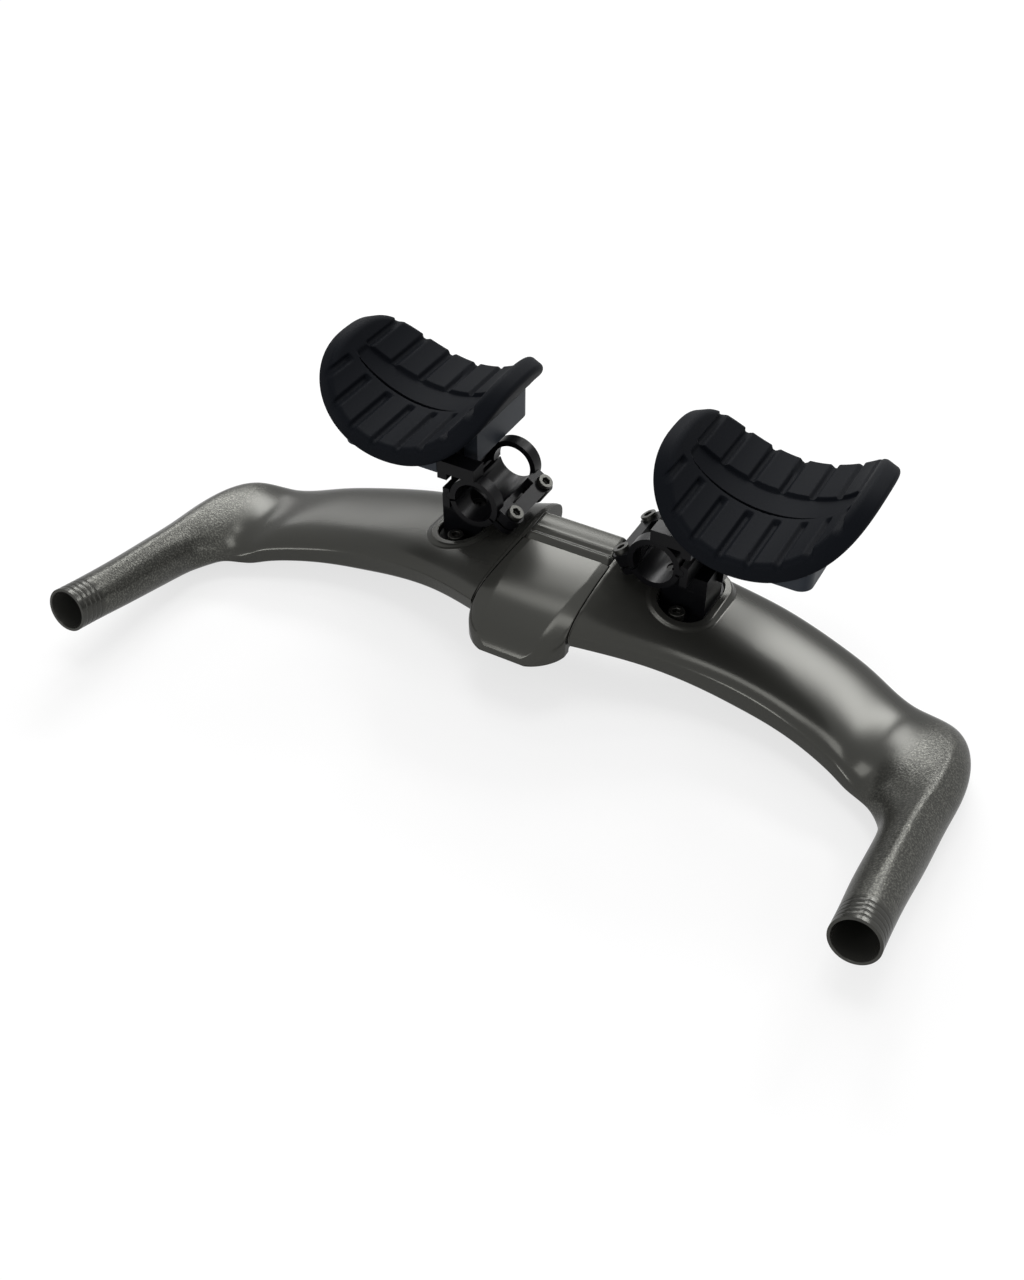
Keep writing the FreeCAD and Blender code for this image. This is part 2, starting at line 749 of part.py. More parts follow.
def ears(name, low, thick):
    """Two round ears, their links to the straps and the bar between them, in the split's own frame."""
    pieces = []
    for end, sign in FRONT_AND_REAR:
        at_y = f"{sign} * ear_pitch / 2"
        pieces.append(rod(f"{name}_{end}_ear", "-ear_reach", at_y, low, "ear_radius", thick))
        link = (f"{at_y} - ear_radius", low, "ear_reach - extension_diameter / 2", "2 * ear_radius", thick)
        pieces.append(box(f"{name}_{end}_link", "-ear_reach", *link))
    bar = ("-ear_reach - ear_bar_width / 2", "-ear_pitch / 2", low, "ear_bar_width", "ear_pitch", thick)
    pieces.append(box(f"{name}_bar", *bar))
    return place(fuse(name, *pieces), "clamp_x", "clamp_y", "clamp_z", EAR_TURN)


def ear_holes(name, low, thick, radius):
    """Holes for the clamp screws or their heads, square to the split."""
    holes = []
    for end, sign in FRONT_AND_REAR:
        at = ("-ear_reach", f"{sign} * ear_pitch / 2", f"{low} - overcut")
        holes.append(rod(f"{name}_{end}_hole", *at, radius, f"{thick} + 2 * overcut"))
    return place(group(name, *holes), "clamp_x", "clamp_y", "clamp_z", EAR_TURN)


def clamp_body():
    """Saddle with a base pad, a shoulder for the bracket, the hook's groove and the lower ears."""
    sweep = f"180 - split_angle - {HOOK_DROP + 2 * split_half_angle()}"
    start = sector_turn(HOOK_DROP + split_half_angle())
    round_sides = (STRAP_OUTSIDE, "clamp_length", start, sweep)
    trough = rod("saddle_trough", "clamp_x", CLAMP_FRONT, "clamp_z", *round_sides)
    corner = ("clamp_x - saddle_inset", "recess_y - column_length / 2", "foot_top")
    pad_width = "boss_x + column_width / 2 - clamp_x + saddle_inset"
    pad_length = "clamp_y + saddle_rear - recess_y + column_length / 2"
    pad = box("saddle_pad", *corner, pad_width, pad_length, "(clamp_z - foot_top) / 2")
    corner = (SHOULDER_X, f"{SHOULDER_Y} - shoulder_length / 2", "foot_top")
    shoulder_sides = ("shoulder_width", "shoulder_length", "shoulder_top - foot_top")
    shoulder = box("saddle_shoulder", *corner, *shoulder_sides)
    corner = (SHOULDER_X, CLAMP_FRONT, "clamp_z - lug_below")
    lug = box("hook_lug", *corner, "lug_thick", "clamp_length", "shoulder_top - clamp_z + lug_below")
    low = "-split_gap / 2 - ear_lower_thick"
    lower_ears = ears("lower_ears", low, "ear_lower_thick")
    blank = fuse("saddle_blank", trough, pad, shoulder, lug, lower_ears)

    groove_at = ("clamp_x + hook_reach", f"{CLAMP_FRONT} - overcut", "clamp_z")
    groove_sides = ("hook_radius + hook_gap", "clamp_length + 2 * overcut", ALONG_Y)
    groove = rod("hook_groove", *groove_at, *groove_sides)
    holes = ear_holes("lower_ear_holes", low, "ear_lower_thick", ROUND_HOLE)
    tools = [clamp_bore("saddle_bore"), groove, holes]
    wide = "base_screw_head / 2 + thread_gap"
    for end, sign in FRONT_AND_REAR:
        at = (BASE_SCREW_X, f"recess_y + {sign} * base_screw_pitch / 2")
        span = ("foot_top - overcut", BASE_HOLE, f"{BASE_SCREW_TOP} - foot_top + overcut")
        tools.append(rod(f"saddle_{end}_hole", *at, *span))
        head = "base_screw_head_height"
        tools.append(cone(f"saddle_{end}_sink", *at, f"{BASE_SCREW_TOP} - {head}", BASE_HOLE, wide, head))
        tools.append(rod(f"saddle_{end}_access", *at, BASE_SCREW_TOP, wide, BORE))
        at = (BRACKET_SCREW_X, f"{SHOULDER_Y} + {sign} * bracket_screw_pitch / 2")
        tip = "cup_bottom - counterbore_depth - bracket_screw_length - overcut"
        deep = f"shoulder_top + overcut - ({tip})"
        tools.append(rod(f"shoulder_{end}_thread", *at, tip, ROUND_HOLE, deep))
    return cut("saddle_body", blank, *tools)


def clamp_cap():
    """Two straps over the bore, each with a hook bead outboard, joined inboard by the upper ears."""
    sweep = f"180 + split_angle + {HOOK_DROP - 2 * split_half_angle()}"
    start = sector_turn(180 - size("split_angle") + split_half_angle())
    pieces = [ears("upper_ears", "split_gap / 2", "ear_thick")]
    for end, at_y in STRAP_STARTS:
        strap = ("clamp_x", at_y, "clamp_z", STRAP_OUTSIDE, "strap_width", start, sweep)
        pieces.append(rod(f"cap_{end}_strap", *strap))
        bead = ("clamp_x + hook_reach", at_y, "clamp_z", "hook_radius", "strap_width", ALONG_Y)
        pieces.append(rod(f"cap_{end}_bead", *bead))
    holes = ear_holes("upper_ear_holes", "split_gap / 2", "ear_thick", ROUND_HOLE)
    seats = ear_holes("ear_seats", f"{SCREW_SEAT} + overcut", "ear_sink", "screw_head / 2 + seat_gap")
    return cut("cap_body", fuse("cap_blank", *pieces), clamp_bore("cap_bore"), holes, seats)


def clamp_screws():
    """Socket screws square to the split, their heads half sunk in the upper ears."""
    screws = []
    for end, sign in FRONT_AND_REAR:
        at = ("-ear_reach", f"{sign} * ear_pitch / 2", SCREW_SEAT)
        screws.append(socket_screw(f"clamp_{end}_screw", *at, "clamp_screw_length"))
    return place(group("clamp_screw_pair", *screws), "clamp_x", "clamp_y", "clamp_z", EAR_TURN)


def base_screws():
    """Countersunk screws from inside the saddle down into the foot."""
    screws = []
    for end, sign in FRONT_AND_REAR:
        at = (BASE_SCREW_X, f"recess_y + {sign} * base_screw_pitch / 2", BASE_SCREW_TOP)
        screws.append(sunk_screw(f"base_{end}_screw", *at, "base_screw"))
    return group("base_screw_pair", *screws)


both_sides(clamp_body(), "clamp_body")
both_sides(clamp_cap(), "clamp_cap")
both_sides(clamp_screws(), "clamp_screws")
both_sides(base_screws(), "base_screws")


# Armrest bracket, its screws, the hard cup, the hook-and-loop sheet and the pad

BRACKET_FRONT = "bracket_y - bracket_length / 2"
PLATE_BOTTOM = "cup_bottom - bracket_plate"
CUP_FRONT = "cup_y - cup_length / 2"
CUP_HOLE = "cup_screw_diameter / 2 + thread_gap"
DISH_AXIS = "cup_bottom + cup_wall + fastener_thick + pad_thick + pad_dish_radius"
PAD_OUTSIDE = "pad_dish_radius + pad_thick"


def armrest_bracket():
    """Plate under the cup with a riser on the clamp's shoulder, and an upstand over the front strap."""
    width = f"bracket_outer_x - ({SHOULDER_X})"
    plate_sides = (width, "bracket_length", "bracket_plate")
    plate = box("bracket_plate_block", SHOULDER_X, BRACKET_FRONT, PLATE_BOTTOM, *plate_sides)
    riser_y = f"{SHOULDER_Y} - riser_length / 2"
    riser_sides = ("shoulder_width", "riser_length", f"{PLATE_BOTTOM} - shoulder_top")
    riser = box("bracket_riser", SHOULDER_X, riser_y, "shoulder_top", *riser_sides)
    neck_sides = ("neck_width", "neck_length", "neck_drop + upstand_height")
    neck = box("bracket_neck", SHOULDER_X, CUP_FRONT, "cup_bottom - neck_drop", *neck_sides)
    low = f"clamp_z + {STRAP_OUTSIDE} + upstand_gap"
    upstand_x = f"{SHOULDER_X} + neck_width - upstand_width"
    upstand_sides = ("upstand_width", "upstand_length", f"cup_bottom + upstand_height - ({low})")
    upstand = box("bracket_upstand", upstand_x, CUP_FRONT, low, *upstand_sides)
    tools = []
    for end, sign in FRONT_AND_REAR:
        at = (BRACKET_SCREW_X, f"{SHOULDER_Y} + {sign} * bracket_screw_pitch / 2")
        span = ("shoulder_top - overcut", ROUND_HOLE, "cup_bottom - shoulder_top + 2 * overcut")
        tools.append(rod(f"bracket_{end}_hole", *at, *span))
        wide, deep = "screw_head / 2 + counterbore_gap", "counterbore_depth + overcut"
        tools.append(rod(f"bracket_{end}_counterbore", *at, "cup_bottom - counterbore_depth", wide, deep))
        at = (f"pad_x + {sign} * cup_screw_pitch / 2", "bracket_y", f"{PLATE_BOTTOM} - overcut")
        tools.append(rod(f"plate_{end}_thread", *at, CUP_HOLE, "bracket_plate + 2 * overcut"))
    return cut("bracket_body", fuse("bracket_blank", plate, riser, neck, upstand), *tools)


def bracket_screws():
    screws = []
    for end, sign in FRONT_AND_REAR:
        at = (BRACKET_SCREW_X, f"{SHOULDER_Y} + {sign} * bracket_screw_pitch / 2")
        seat = "cup_bottom - counterbore_depth"
        screws.append(socket_screw(f"bracket_{end}_screw", *at, seat, "bracket_screw_length"))
    return group("bracket_screw_pair", *screws)


def dish_tool(name, radius):
    """Long cylinder about the pad's dish axis."""
    return rod(name, "pad_x", "pad_y - pad_length", DISH_AXIS, radius, "2 * pad_length", ALONG_Y)


def arm_cup():
    """Hard cup with a flat bottom, round corners and a top that follows the pad."""
    at = ("cup_inner_x", CUP_FRONT, "cup_bottom")
    block = box("cup_block", *at, "cup_outer_x - cup_inner_x", "cup_length", "pad_dish_radius / 2")
    rounded = doc.addObject("Part::Fillet", "cup_rounded")
    rounded.Base = block
    doc.recompute()
    upright = [n for n, edge in enumerate(block.Shape.Edges, start=1) if abs(edge.tangentAt(0).z) > 0.9]
    radius = size("cup_corner_radius")
    rounded.Edges = [(n, radius, radius) for n in upright]
    width = f"{SHOULDER_X} + neck_width + notch_gap"
    notch_sides = (width, "neck_length + notch_gap", "2 * pad_dish_radius")
    notch = box("cup_notch", 0, CUP_FRONT, 0, *notch_sides)
    tools = [dish_tool("cup_dish", f"{PAD_OUTSIDE} + fastener_thick"), notch]
    for end, sign in FRONT_AND_REAR:
        at, top = (f"pad_x + {sign} * cup_screw_pitch / 2", "bracket_y"), "cup_bottom + cup_wall"
        wide, head = "cup_screw_head / 2 + thread_gap", "cup_screw_head_height"
        tools.append(rod(f"cup_{end}_hole", *at, "cup_bottom - overcut", CUP_HOLE, "cup_wall + overcut"))
        tools.append(cone(f"cup_{end}_sink", *at, f"{top} - {head}", CUP_HOLE, wide, head))
        tools.append(rod(f"cup_{end}_access", *at, top, wide, "pad_thick"))
    return cut("cup_body", rounded, *tools)


def cup_screws():
    screws = []
    for end, sign in FRONT_AND_REAR:
        at = (f"pad_x + {sign} * cup_screw_pitch / 2", "bracket_y", "cup_bottom + cup_wall")
        screws.append(sunk_screw(f"cup_{end}_screw", *at, "cup_screw"))
    return group("cup_screw_pair", *screws)


def dish_sheet(name, inside, outside, sweep, length):
    """Curved slab about the dish axis, evenly to both sides of its lowest line."""
    turn = sector_turn(90 - size(sweep) / 2)
    slab = rod(f"{name}_slab", "pad_x", f"pad_y - {length} / 2", DISH_AXIS, outside, length, turn, sweep)
    return cut(name, slab, dish_tool(f"{name}_hollow", inside))


def pad_fastener():
    inside, outside = f"{PAD_OUTSIDE} + seat_gap", f"{PAD_OUTSIDE} + fastener_thick - seat_gap"
    return dish_sheet("fastener_sheet", inside, outside, "fastener_sweep", "fastener_length")


def pad_sections():
    """Sections across the pad, one for each station round the dish.

    In the flat the pad's outline is a superellipse: its two half axes, times the sine and the cosine
    of the station's angle, each raised to two over the outline's power.
    """
    words = ("cup_bottom", "cup_wall", "fastener_thick", "pad_thick", "pad_dish_radius")
    axis = Vector(size("pad_x"), size("pad_y"), sum(size(word) for word in words))
    middle = size("pad_dish_radius") + size("pad_thick") / 2
    power = 2 / PAD_POWER
    rows = []
    for station in PAD_STATIONS:
        angle = math.radians(station)
        turn = math.copysign(abs(math.sin(angle)) ** power, station) * math.radians(size("pad_sweep") / 2)
        ray = Vector(math.sin(turn), 0, -math.cos(turn))
        centre = axis + ray * middle
        half = Vector(0, size("pad_length") / 2 * math.cos(angle) ** power, 0)
        edges = (PAD_FULLNESS, PAD_SQUARENESS)
        rows.append(section(centre - half, centre + half, size("pad_thick"), 0.0, *edges, up=ray))
    return rows


def arm_pad():
    """Foam dish with soft edges, a shallow valley across it and a row of grooves before and behind."""
    dish = feature("pad_dish", skin(pad_sections()))
    valley_turn = sector_turn(90 - size("pad_valley_sweep") / 2)
    valley_size = ("pad_dish_radius + pad_valley_depth", "pad_valley", valley_turn, "pad_valley_sweep")
    tools = [rod("pad_valley_tool", "pad_x", "pad_y - pad_valley / 2", DISH_AXIS, *valley_size)]
    step_angle = math.degrees(size("pad_groove_pitch") / size("pad_dish_radius"))
    for number in range(PAD_GROOVES):
        turn = Rotation(Vector(0, 1, 0), (number - (PAD_GROOVES - 1) / 2) * step_angle)
        run = "pad_length / 2 - pad_valley"
        corner = ("-pad_groove / 2", "pad_valley", "-pad_dish_radius - pad_groove_depth")
        sides = ("pad_groove", f"{run} + overcut", "2 * pad_groove_depth")
        rear = box(f"pad_groove_rear_{number}", *corner, *sides)
        corner = ("-pad_groove / 2", "-pad_length / 2 - overcut", "-pad_dish_radius - pad_groove_depth")
        front = box(f"pad_groove_front_{number}", *corner, *sides)
        tools.append(place(group(f"pad_grooves_{number}", rear, front), "pad_x", "pad_y", DISH_AXIS, turn))
    return cut("pad_body", dish, *tools)


both_sides(armrest_bracket(), "armrest_bracket")
both_sides(bracket_screws(), "bracket_screws")
both_sides(arm_cup(), "arm_cup")
both_sides(cup_screws(), "cup_screws")
both_sides(pad_fastener(), "pad_fastener")
both_sides(arm_pad(), "arm_pad")


# Check every object, then write each sub-part to its own file

doc.recompute()
for item in doc.Objects:
    if {"Invalid", "Error"} & set(item.State):
        raise RuntimeError(f"{item.Label} failed: {item.State}")
for item in nodes:
    if item.Shape.isNull() or not item.Shape.isValid():
        raise RuntimeError(f"{item.Label} has no valid shape")

os.makedirs("parts", exist_ok=True)
for item in nodes:
    item.Shape.exportStep(f"parts/{item.Label}.step")
    print(f"{item.Label}: {len(item.Shape.Solids)} solids, {item.Shape.Volume:.0f} mm3")
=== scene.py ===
# %% [markdown]
# # Time trial handlebar
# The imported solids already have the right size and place. This lesson dresses them: it eases the edges of
# the machined pieces, makes the moulded surfaces anew where light has to run smoothly over them, and gives
# each piece the finish of the real one. The frame is that of the part: X along the bar, Y to the rear and Z
# up. Points of the new surfaces are worked out in millimetres and scaled once, and all other lengths are
# metres.

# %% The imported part
import json
import math

import bmesh
import bpy
import numpy as np
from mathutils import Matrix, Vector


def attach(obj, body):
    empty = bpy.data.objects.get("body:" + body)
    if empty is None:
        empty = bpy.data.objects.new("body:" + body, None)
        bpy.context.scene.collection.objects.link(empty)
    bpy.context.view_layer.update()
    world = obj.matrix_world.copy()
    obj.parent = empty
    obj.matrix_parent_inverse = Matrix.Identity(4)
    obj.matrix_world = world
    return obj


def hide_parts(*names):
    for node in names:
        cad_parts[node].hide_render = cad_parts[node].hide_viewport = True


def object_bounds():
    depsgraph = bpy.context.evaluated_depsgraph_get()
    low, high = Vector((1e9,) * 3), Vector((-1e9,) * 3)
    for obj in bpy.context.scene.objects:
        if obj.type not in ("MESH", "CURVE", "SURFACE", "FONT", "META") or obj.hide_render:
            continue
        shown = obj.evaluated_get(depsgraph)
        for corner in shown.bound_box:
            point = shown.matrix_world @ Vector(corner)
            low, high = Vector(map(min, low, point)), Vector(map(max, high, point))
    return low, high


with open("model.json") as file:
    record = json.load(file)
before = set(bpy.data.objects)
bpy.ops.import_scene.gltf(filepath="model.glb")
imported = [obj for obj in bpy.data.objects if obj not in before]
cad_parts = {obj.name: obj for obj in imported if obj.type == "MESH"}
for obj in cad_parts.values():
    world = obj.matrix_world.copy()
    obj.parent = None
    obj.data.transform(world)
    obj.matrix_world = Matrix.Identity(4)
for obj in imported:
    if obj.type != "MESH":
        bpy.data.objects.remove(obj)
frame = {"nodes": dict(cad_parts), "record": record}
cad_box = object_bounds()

MM = 0.001
print(len(frame["nodes"]), "nodes in the box", [[round(c / MM) for c in corner] for corner in cad_box])

# %% [markdown]
# ## Stage
# A product photograph of this kind is taken on a white sweep, with lamps round the object. Three helpers
# come first. One turns a colour code into linear light, one adds a shader node with its settings and links,
# and one puts data into the scene as an object.

# %% Helpers for colours, nodes and objects
def linear(hex_colour):
    """sRGB hex to linear: below 0.04045 divided by 12.92, above it the 2.4 power of its offset value."""
    parts = np.array([int(hex_colour[i : i + 2], 16) for i in (1, 3, 5)]) / 255
    curve = np.where(parts <= 0.04045, parts / 12.92, ((parts + 0.055) / 1.055) ** 2.4)
    return (*curve.tolist(), 1.0)


def add_node(tree, kind, settings=None, **inputs):
    """One node: settings are its own properties, inputs are values or sockets to link, by name or number."""
    node = tree.nodes.new(kind)
    for name, value in (settings or {}).items():
        setattr(node, name, value)
    for name, value in inputs.items():
        by_number = name[0] == "i" and name[1:].isdigit()
        socket = node.inputs[int(name[1:])] if by_number else node.inputs[name.replace("_", " ")]
        if isinstance(value, bpy.types.NodeSocket):
            tree.links.new(value, socket)
        else:
            socket.default_value = value
    return node


def new_object(name, data):
    """An object at the origin of the scene that carries a mesh, a lamp or a camera."""
    obj = bpy.data.objects.new(name, data)
    bpy.context.scene.collection.objects.link(obj)
    return obj


# %% [markdown]
# A wide pale floor lies just under the lowest point of the bar. In a studio it is a sheet of matt paper
# that curves up behind the object. Here it is flat and turns white with distance, because a curved sheet
# would show its bend when the camera goes round the object.

# %% Floor
FLOOR_SIDE, FLOOR_GAP = 6.0, 0.5 * MM
WHITE_NEAR, FADE_FROM, FADE_TO = 0.7, 0.6, 1.6

floor_height = cad_box[0][2] - FLOOR_GAP
reach = FLOOR_SIDE / 2
floor_mesh = bpy.data.meshes.new("studio_floor")
corners = [(x * reach, y * reach, floor_height) for x, y in ((-1, -1), (1, -1), (1, 1), (-1, 1))]
floor_mesh.from_pydata(corners, [], [(0, 1, 2, 3)])
studio_floor = new_object("studio_floor", floor_mesh)


def seen_directly(tree):
    """One for a camera ray, a gloss or a clear piece, else zero: the largest of the three marks of a ray."""
    path = add_node(tree, "ShaderNodeLightPath")
    seen = path.outputs["Is Camera Ray"]
    for kind in ("Is Glossy Ray", "Is Transmission Ray"):
        larger = add_node(tree, "ShaderNodeMath", {"operation": "MAXIMUM"}, i0=seen, i1=path.outputs[kind])
        seen = larger.outputs[0]
    return seen


# matt white sweep paper: near the object most of what the eye sees is plain white and the rest keeps the soft
# shadow, and further off it is all white, so that no horizon shows
paper = bpy.data.materials.new("matt white sweep paper")
paper.use_nodes = True
tree = paper.node_tree
tree.nodes.clear()
matt = add_node(tree, "ShaderNodeBsdfDiffuse", Color=linear("#f4f4f4"))
plain = add_node(tree, "ShaderNodeEmission", Color=linear("#ffffff"), Strength=1.0)
place = add_node(tree, "ShaderNodeTexCoord").outputs["Object"]
away = add_node(tree, "ShaderNodeVectorMath", {"operation": "LENGTH"}, i0=place).outputs["Value"]
fade = add_node(
    tree, "ShaderNodeMapRange", Value=away, From_Min=FADE_FROM, From_Max=FADE_TO, To_Min=WHITE_NEAR
)
seen = seen_directly(tree)
share = add_node(tree, "ShaderNodeMath", {"operation": "MULTIPLY"}, i0=seen, i1=fade.outputs[0])
both = add_node(tree, "ShaderNodeMixShader", i0=share.outputs[0], i1=matt.outputs[0], i2=plain.outputs[0])
add_node(tree, "ShaderNodeOutputMaterial", Surface=both.outputs[0])
floor_mesh.materials.append(paper)
print("floor at", round(floor_height / MM, 1), "mm")

# %% [markdown]
# The world is white where the camera, a gloss or a clear piece looks at it, but gives only a mild light of
# its own, so that the lamps shape the object. A world that gave all of its white as light would flatten
# every form.

# %% World and view
AMBIENT = 0.45

world = bpy.data.worlds.new("white studio")
bpy.context.scene.world = world
world.use_nodes = True
tree = world.node_tree
tree.nodes.clear()
dim = add_node(tree, "ShaderNodeBackground", Color=linear("#ffffff"), Strength=AMBIENT)
white = add_node(tree, "ShaderNodeBackground", Color=linear("#ffffff"), Strength=1.0)
seen = seen_directly(tree)
mixed = add_node(tree, "ShaderNodeMixShader", i0=seen, i1=dim.outputs[0], i2=white.outputs[0])
add_node(tree, "ShaderNodeOutputWorld", Surface=mixed.outputs[0])
bpy.context.scene.view_settings.view_transform = "Standard"
print("world white to the eye, with", AMBIENT, "of that as light")

# %% [markdown]
# ## Camera
# The camera was solved from the bar itself: the two grip ends, the wing tips and the pads give its place,
# and level verticals give no roll. It stands in front of the bar, a little to its right, and looks down at
# 41.5 degrees through a 40 mm lens on a 36 mm long side.

# %% Camera
CAMERA_PLACE, CAMERA_TILT, CAMERA_TURN = (0.2609, -0.5418, 0.4667), 41.5, 29.4

camera_data = bpy.data.cameras.new("photo_camera")
camera_data.lens = 40.0
camera_data.sensor_width = 36.0
camera_data.sensor_fit = "AUTO"
camera_data.clip_start = 0.01
camera = new_object("photo_camera", camera_data)
camera.location = CAMERA_PLACE
camera.rotation_euler = (math.radians(90 - CAMERA_TILT), 0.0, math.radians(CAMERA_TURN))
bpy.context.scene.camera = camera
print("camera", round(math.hypot(*CAMERA_PLACE), 2), "m from the middle of the bar")

# %% [markdown]
# ## Lamps
# Lacquer shows its lamps, so most of them stand where a bright patch of the bar mirrors them. A strip and a
# box behind the bar give the long band on both wings. Three smaller boxes on the left give the patches on
# the left wing, on its elbow and on the nose cover, and one overhead gives the soft line behind the leading
# edge. A box in front draws the crease of that edge, and a tall strip on the right lights the sides of the
# pads. One wide lamp would be simpler, but it would wash all of these into one grey.

# %% Lamps
LAMPS = {
    # name: place, width, height, watts
    "rear strip": ((-0.58, 1.30, 0.97), 1.0, 0.34, 14),
    "rear right box": ((0.38, 1.41, 0.96), 0.68, 0.26, 10),
    "left low box": ((-1.24, 1.18, 0.60), 0.4, 0.28, 1.5),
    "left rear softbox": ((-0.60, 1.10, 1.22), 0.5, 0.4, 2.2),
    "upper left box": ((-0.55, 0.59, 1.48), 0.35, 0.25, 1.5),
    "overhead softbox": ((0.0, 0.0, 1.7), 0.8, 0.6, 7),
    "front softbox": ((-0.28, -1.62, 0.48), 0.7, 0.4, 9),
    "right strip": ((1.5, 0.1, 0.7), 0.4, 1.2, 3),
}


def softbox(name, place, width, height, watts):
    """Area lamp at a place, turned so that its face looks at the middle of the bar.

    It tips by the angle between straight down and its way to the middle, and turns by the way's bearing.
    """
    lamp = bpy.data.lights.new(name, "AREA")
    lamp.shape = "RECTANGLE"
    lamp.size, lamp.size_y, lamp.energy = width, height, watts
    obj = new_object(name, lamp)
    obj.location = place
    way = np.zeros(3) - place
    level = math.hypot(way[0], way[1])
    obj.rotation_euler = (math.atan2(level, -way[2]), 0.0, math.atan2(way[1], way[0]) - math.pi / 2)


for name, settings in LAMPS.items():
    softbox(name, *settings)
print(len(LAMPS), "softboxes")

# %% [markdown]
# ## Finishes
# Each finish is one shader with its own colour, share of metal and roughness. The names of the slots come
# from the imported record, so every piece finds its finish by the name of its slot.

# %% Finishes
CARBON, CARBON_ROUGHNESS = "#3c3c39", 0.21


def finish(name, colour, metallic, roughness, **more):
    """A plain shader with the finish's own colour, metal share and roughness."""
    material = bpy.data.materials.new(name)
    material.use_nodes = True
    shader = material.node_tree.nodes["Principled BSDF"]
    values = {"Base Color": linear(colour), "Metallic": metallic, "Roughness": roughness}
    for socket, value in (values | more).items():
        shader.inputs[socket.replace("_", " ")].default_value = value
    return material


FINISHES = {
    # carbon under thin satin lacquer: dark olive grey, almost black in shade, with wide soft bands of light;
    # the grey tint keeps the far sides from turning white, as the pigment in the lacquer does
    "moulded_carbon": finish(
        "moulded carbon under satin lacquer", CARBON, 0.5, CARBON_ROUGHNESS,
        Specular_IOR_Level=0.28, Specular_Tint=linear("#bababa"),
    ),
    # anodised layer: deep black with weak, soft edge lights
    "black_anodised": finish("black anodised aluminium", "#08080a", 0.0, 0.32, Specular_IOR_Level=0.1),
    # phosphated screws: mid grey rims that stand out from the black clamp
    "grey_steel": finish("grey phosphated steel", "#40403d", 0.9, 0.35),
    # oxide-black screws: they only show a faint rim inside the bores
    "plain_steel": finish("oxide-black steel", "#1c1c1b", 0.8, 0.4),
    # filled nylon: dark blue-grey with a dull sheen
    "cup_plastic": finish("glass-filled nylon", "#262a30", 0.0, 0.5, Specular_IOR_Level=0.15),
    # foam skin: nearly black, a little blue, hardly any shine
    "pad_foam": finish("moulded foam skin", "#0d0f13", 0.0, 0.6, Specular_IOR_Level=0.03),
    # woven tape: black and matt, hidden between cup and pad
    "hook_and_loop": finish("woven hook-and-loop", "#121212", 0.0, 0.9, Specular_IOR_Level=0.1),
}
slots = {piece["node"]: piece["material_slot"] for piece in frame["record"]["subparts"]}
print(sorted(set(slots.values())))

# %% [markdown]
# The grips and elbows are left grainy for the hands, outboard of a slanting line over each elbow. Such a
# surface can be made with grit in the last coat of lacquer. Specks of about 1.1 millimetres lift it and
# make it duller, and dots of about 0.9 millimetres are a paler grey. How much of this shows is kept point
# by point on the grid of the bar. It grows softly across the line, and the rings and the bore have none.

# %% Grain of the grips
LIFT_WIDTH, LIFT_HEIGHT, LIFT_STRENGTH = 1.1 * MM, 0.4 * MM, 0.4
DOT_WIDTH, DOT_COLOUR, DOT_FROM, DOT_TO, DOT_SHARE = 0.9 * MM, "#6c6c66", 0.45, 0.7, 0.6
GRAIN_DULLNESS = 0.08

tree = FINISHES["moulded_carbon"].node_tree
shader = tree.nodes["Principled BSDF"]
share = add_node(tree, "ShaderNodeAttribute", {"attribute_name": "grain"}).outputs["Fac"]
place = add_node(tree, "ShaderNodeTexCoord").outputs["Object"]
specks = add_node(tree, "ShaderNodeTexNoise", Vector=place, Scale=1 / LIFT_WIDTH, Detail=3.0).outputs["Fac"]
squared = add_node(tree, "ShaderNodeMath", {"operation": "POWER"}, i0=share, i1=2.0).outputs[0]
strength = add_node(tree, "ShaderNodeMath", {"operation": "MULTIPLY"}, i0=squared, i1=LIFT_STRENGTH)
lift = add_node(tree, "ShaderNodeBump", Strength=strength.outputs[0], Distance=LIFT_HEIGHT, Height=specks)
dull = add_node(
    tree, "ShaderNodeMath", {"operation": "MULTIPLY_ADD"}, i0=share, i1=GRAIN_DULLNESS, i2=CARBON_ROUGHNESS
)
fine = add_node(tree, "ShaderNodeTexNoise", Vector=place, Scale=1 / DOT_WIDTH, Detail=1.0).outputs["Fac"]
dots = add_node(tree, "ShaderNodeMapRange", Value=fine, From_Min=DOT_FROM, From_Max=DOT_TO, To_Max=DOT_SHARE)
amount = add_node(tree, "ShaderNodeMath", {"operation": "MULTIPLY"}, i0=share, i1=dots.outputs[0]).outputs[0]
speckled = add_node(
    tree, "ShaderNodeMix", {"data_type": "RGBA"}, i0=amount, i6=linear(CARBON), i7=linear(DOT_COLOUR)
)
tree.links.new(speckled.outputs[2], shader.inputs["Base Color"])
tree.links.new(lift.outputs["Normal"], shader.inputs["Normal"])
tree.links.new(dull.outputs[0], shader.inputs["Roughness"])
print("grain of", len(tree.nodes), "nodes")

# %% [markdown]
# ## Moulded bar
# On the real bar one skin runs from the wing round the elbow into the grip. It was laid up in a mould, so
# light has to slide over it without a break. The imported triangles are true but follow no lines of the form,
# so each half is made again as a grid: closed sections, the same ones that the solid is built on, carried
# along a smooth line from the root to the open end. One direction of the grid runs round a section, the
# other along the bar.

# %% Splines for the grid
SECTION_POLES = 20


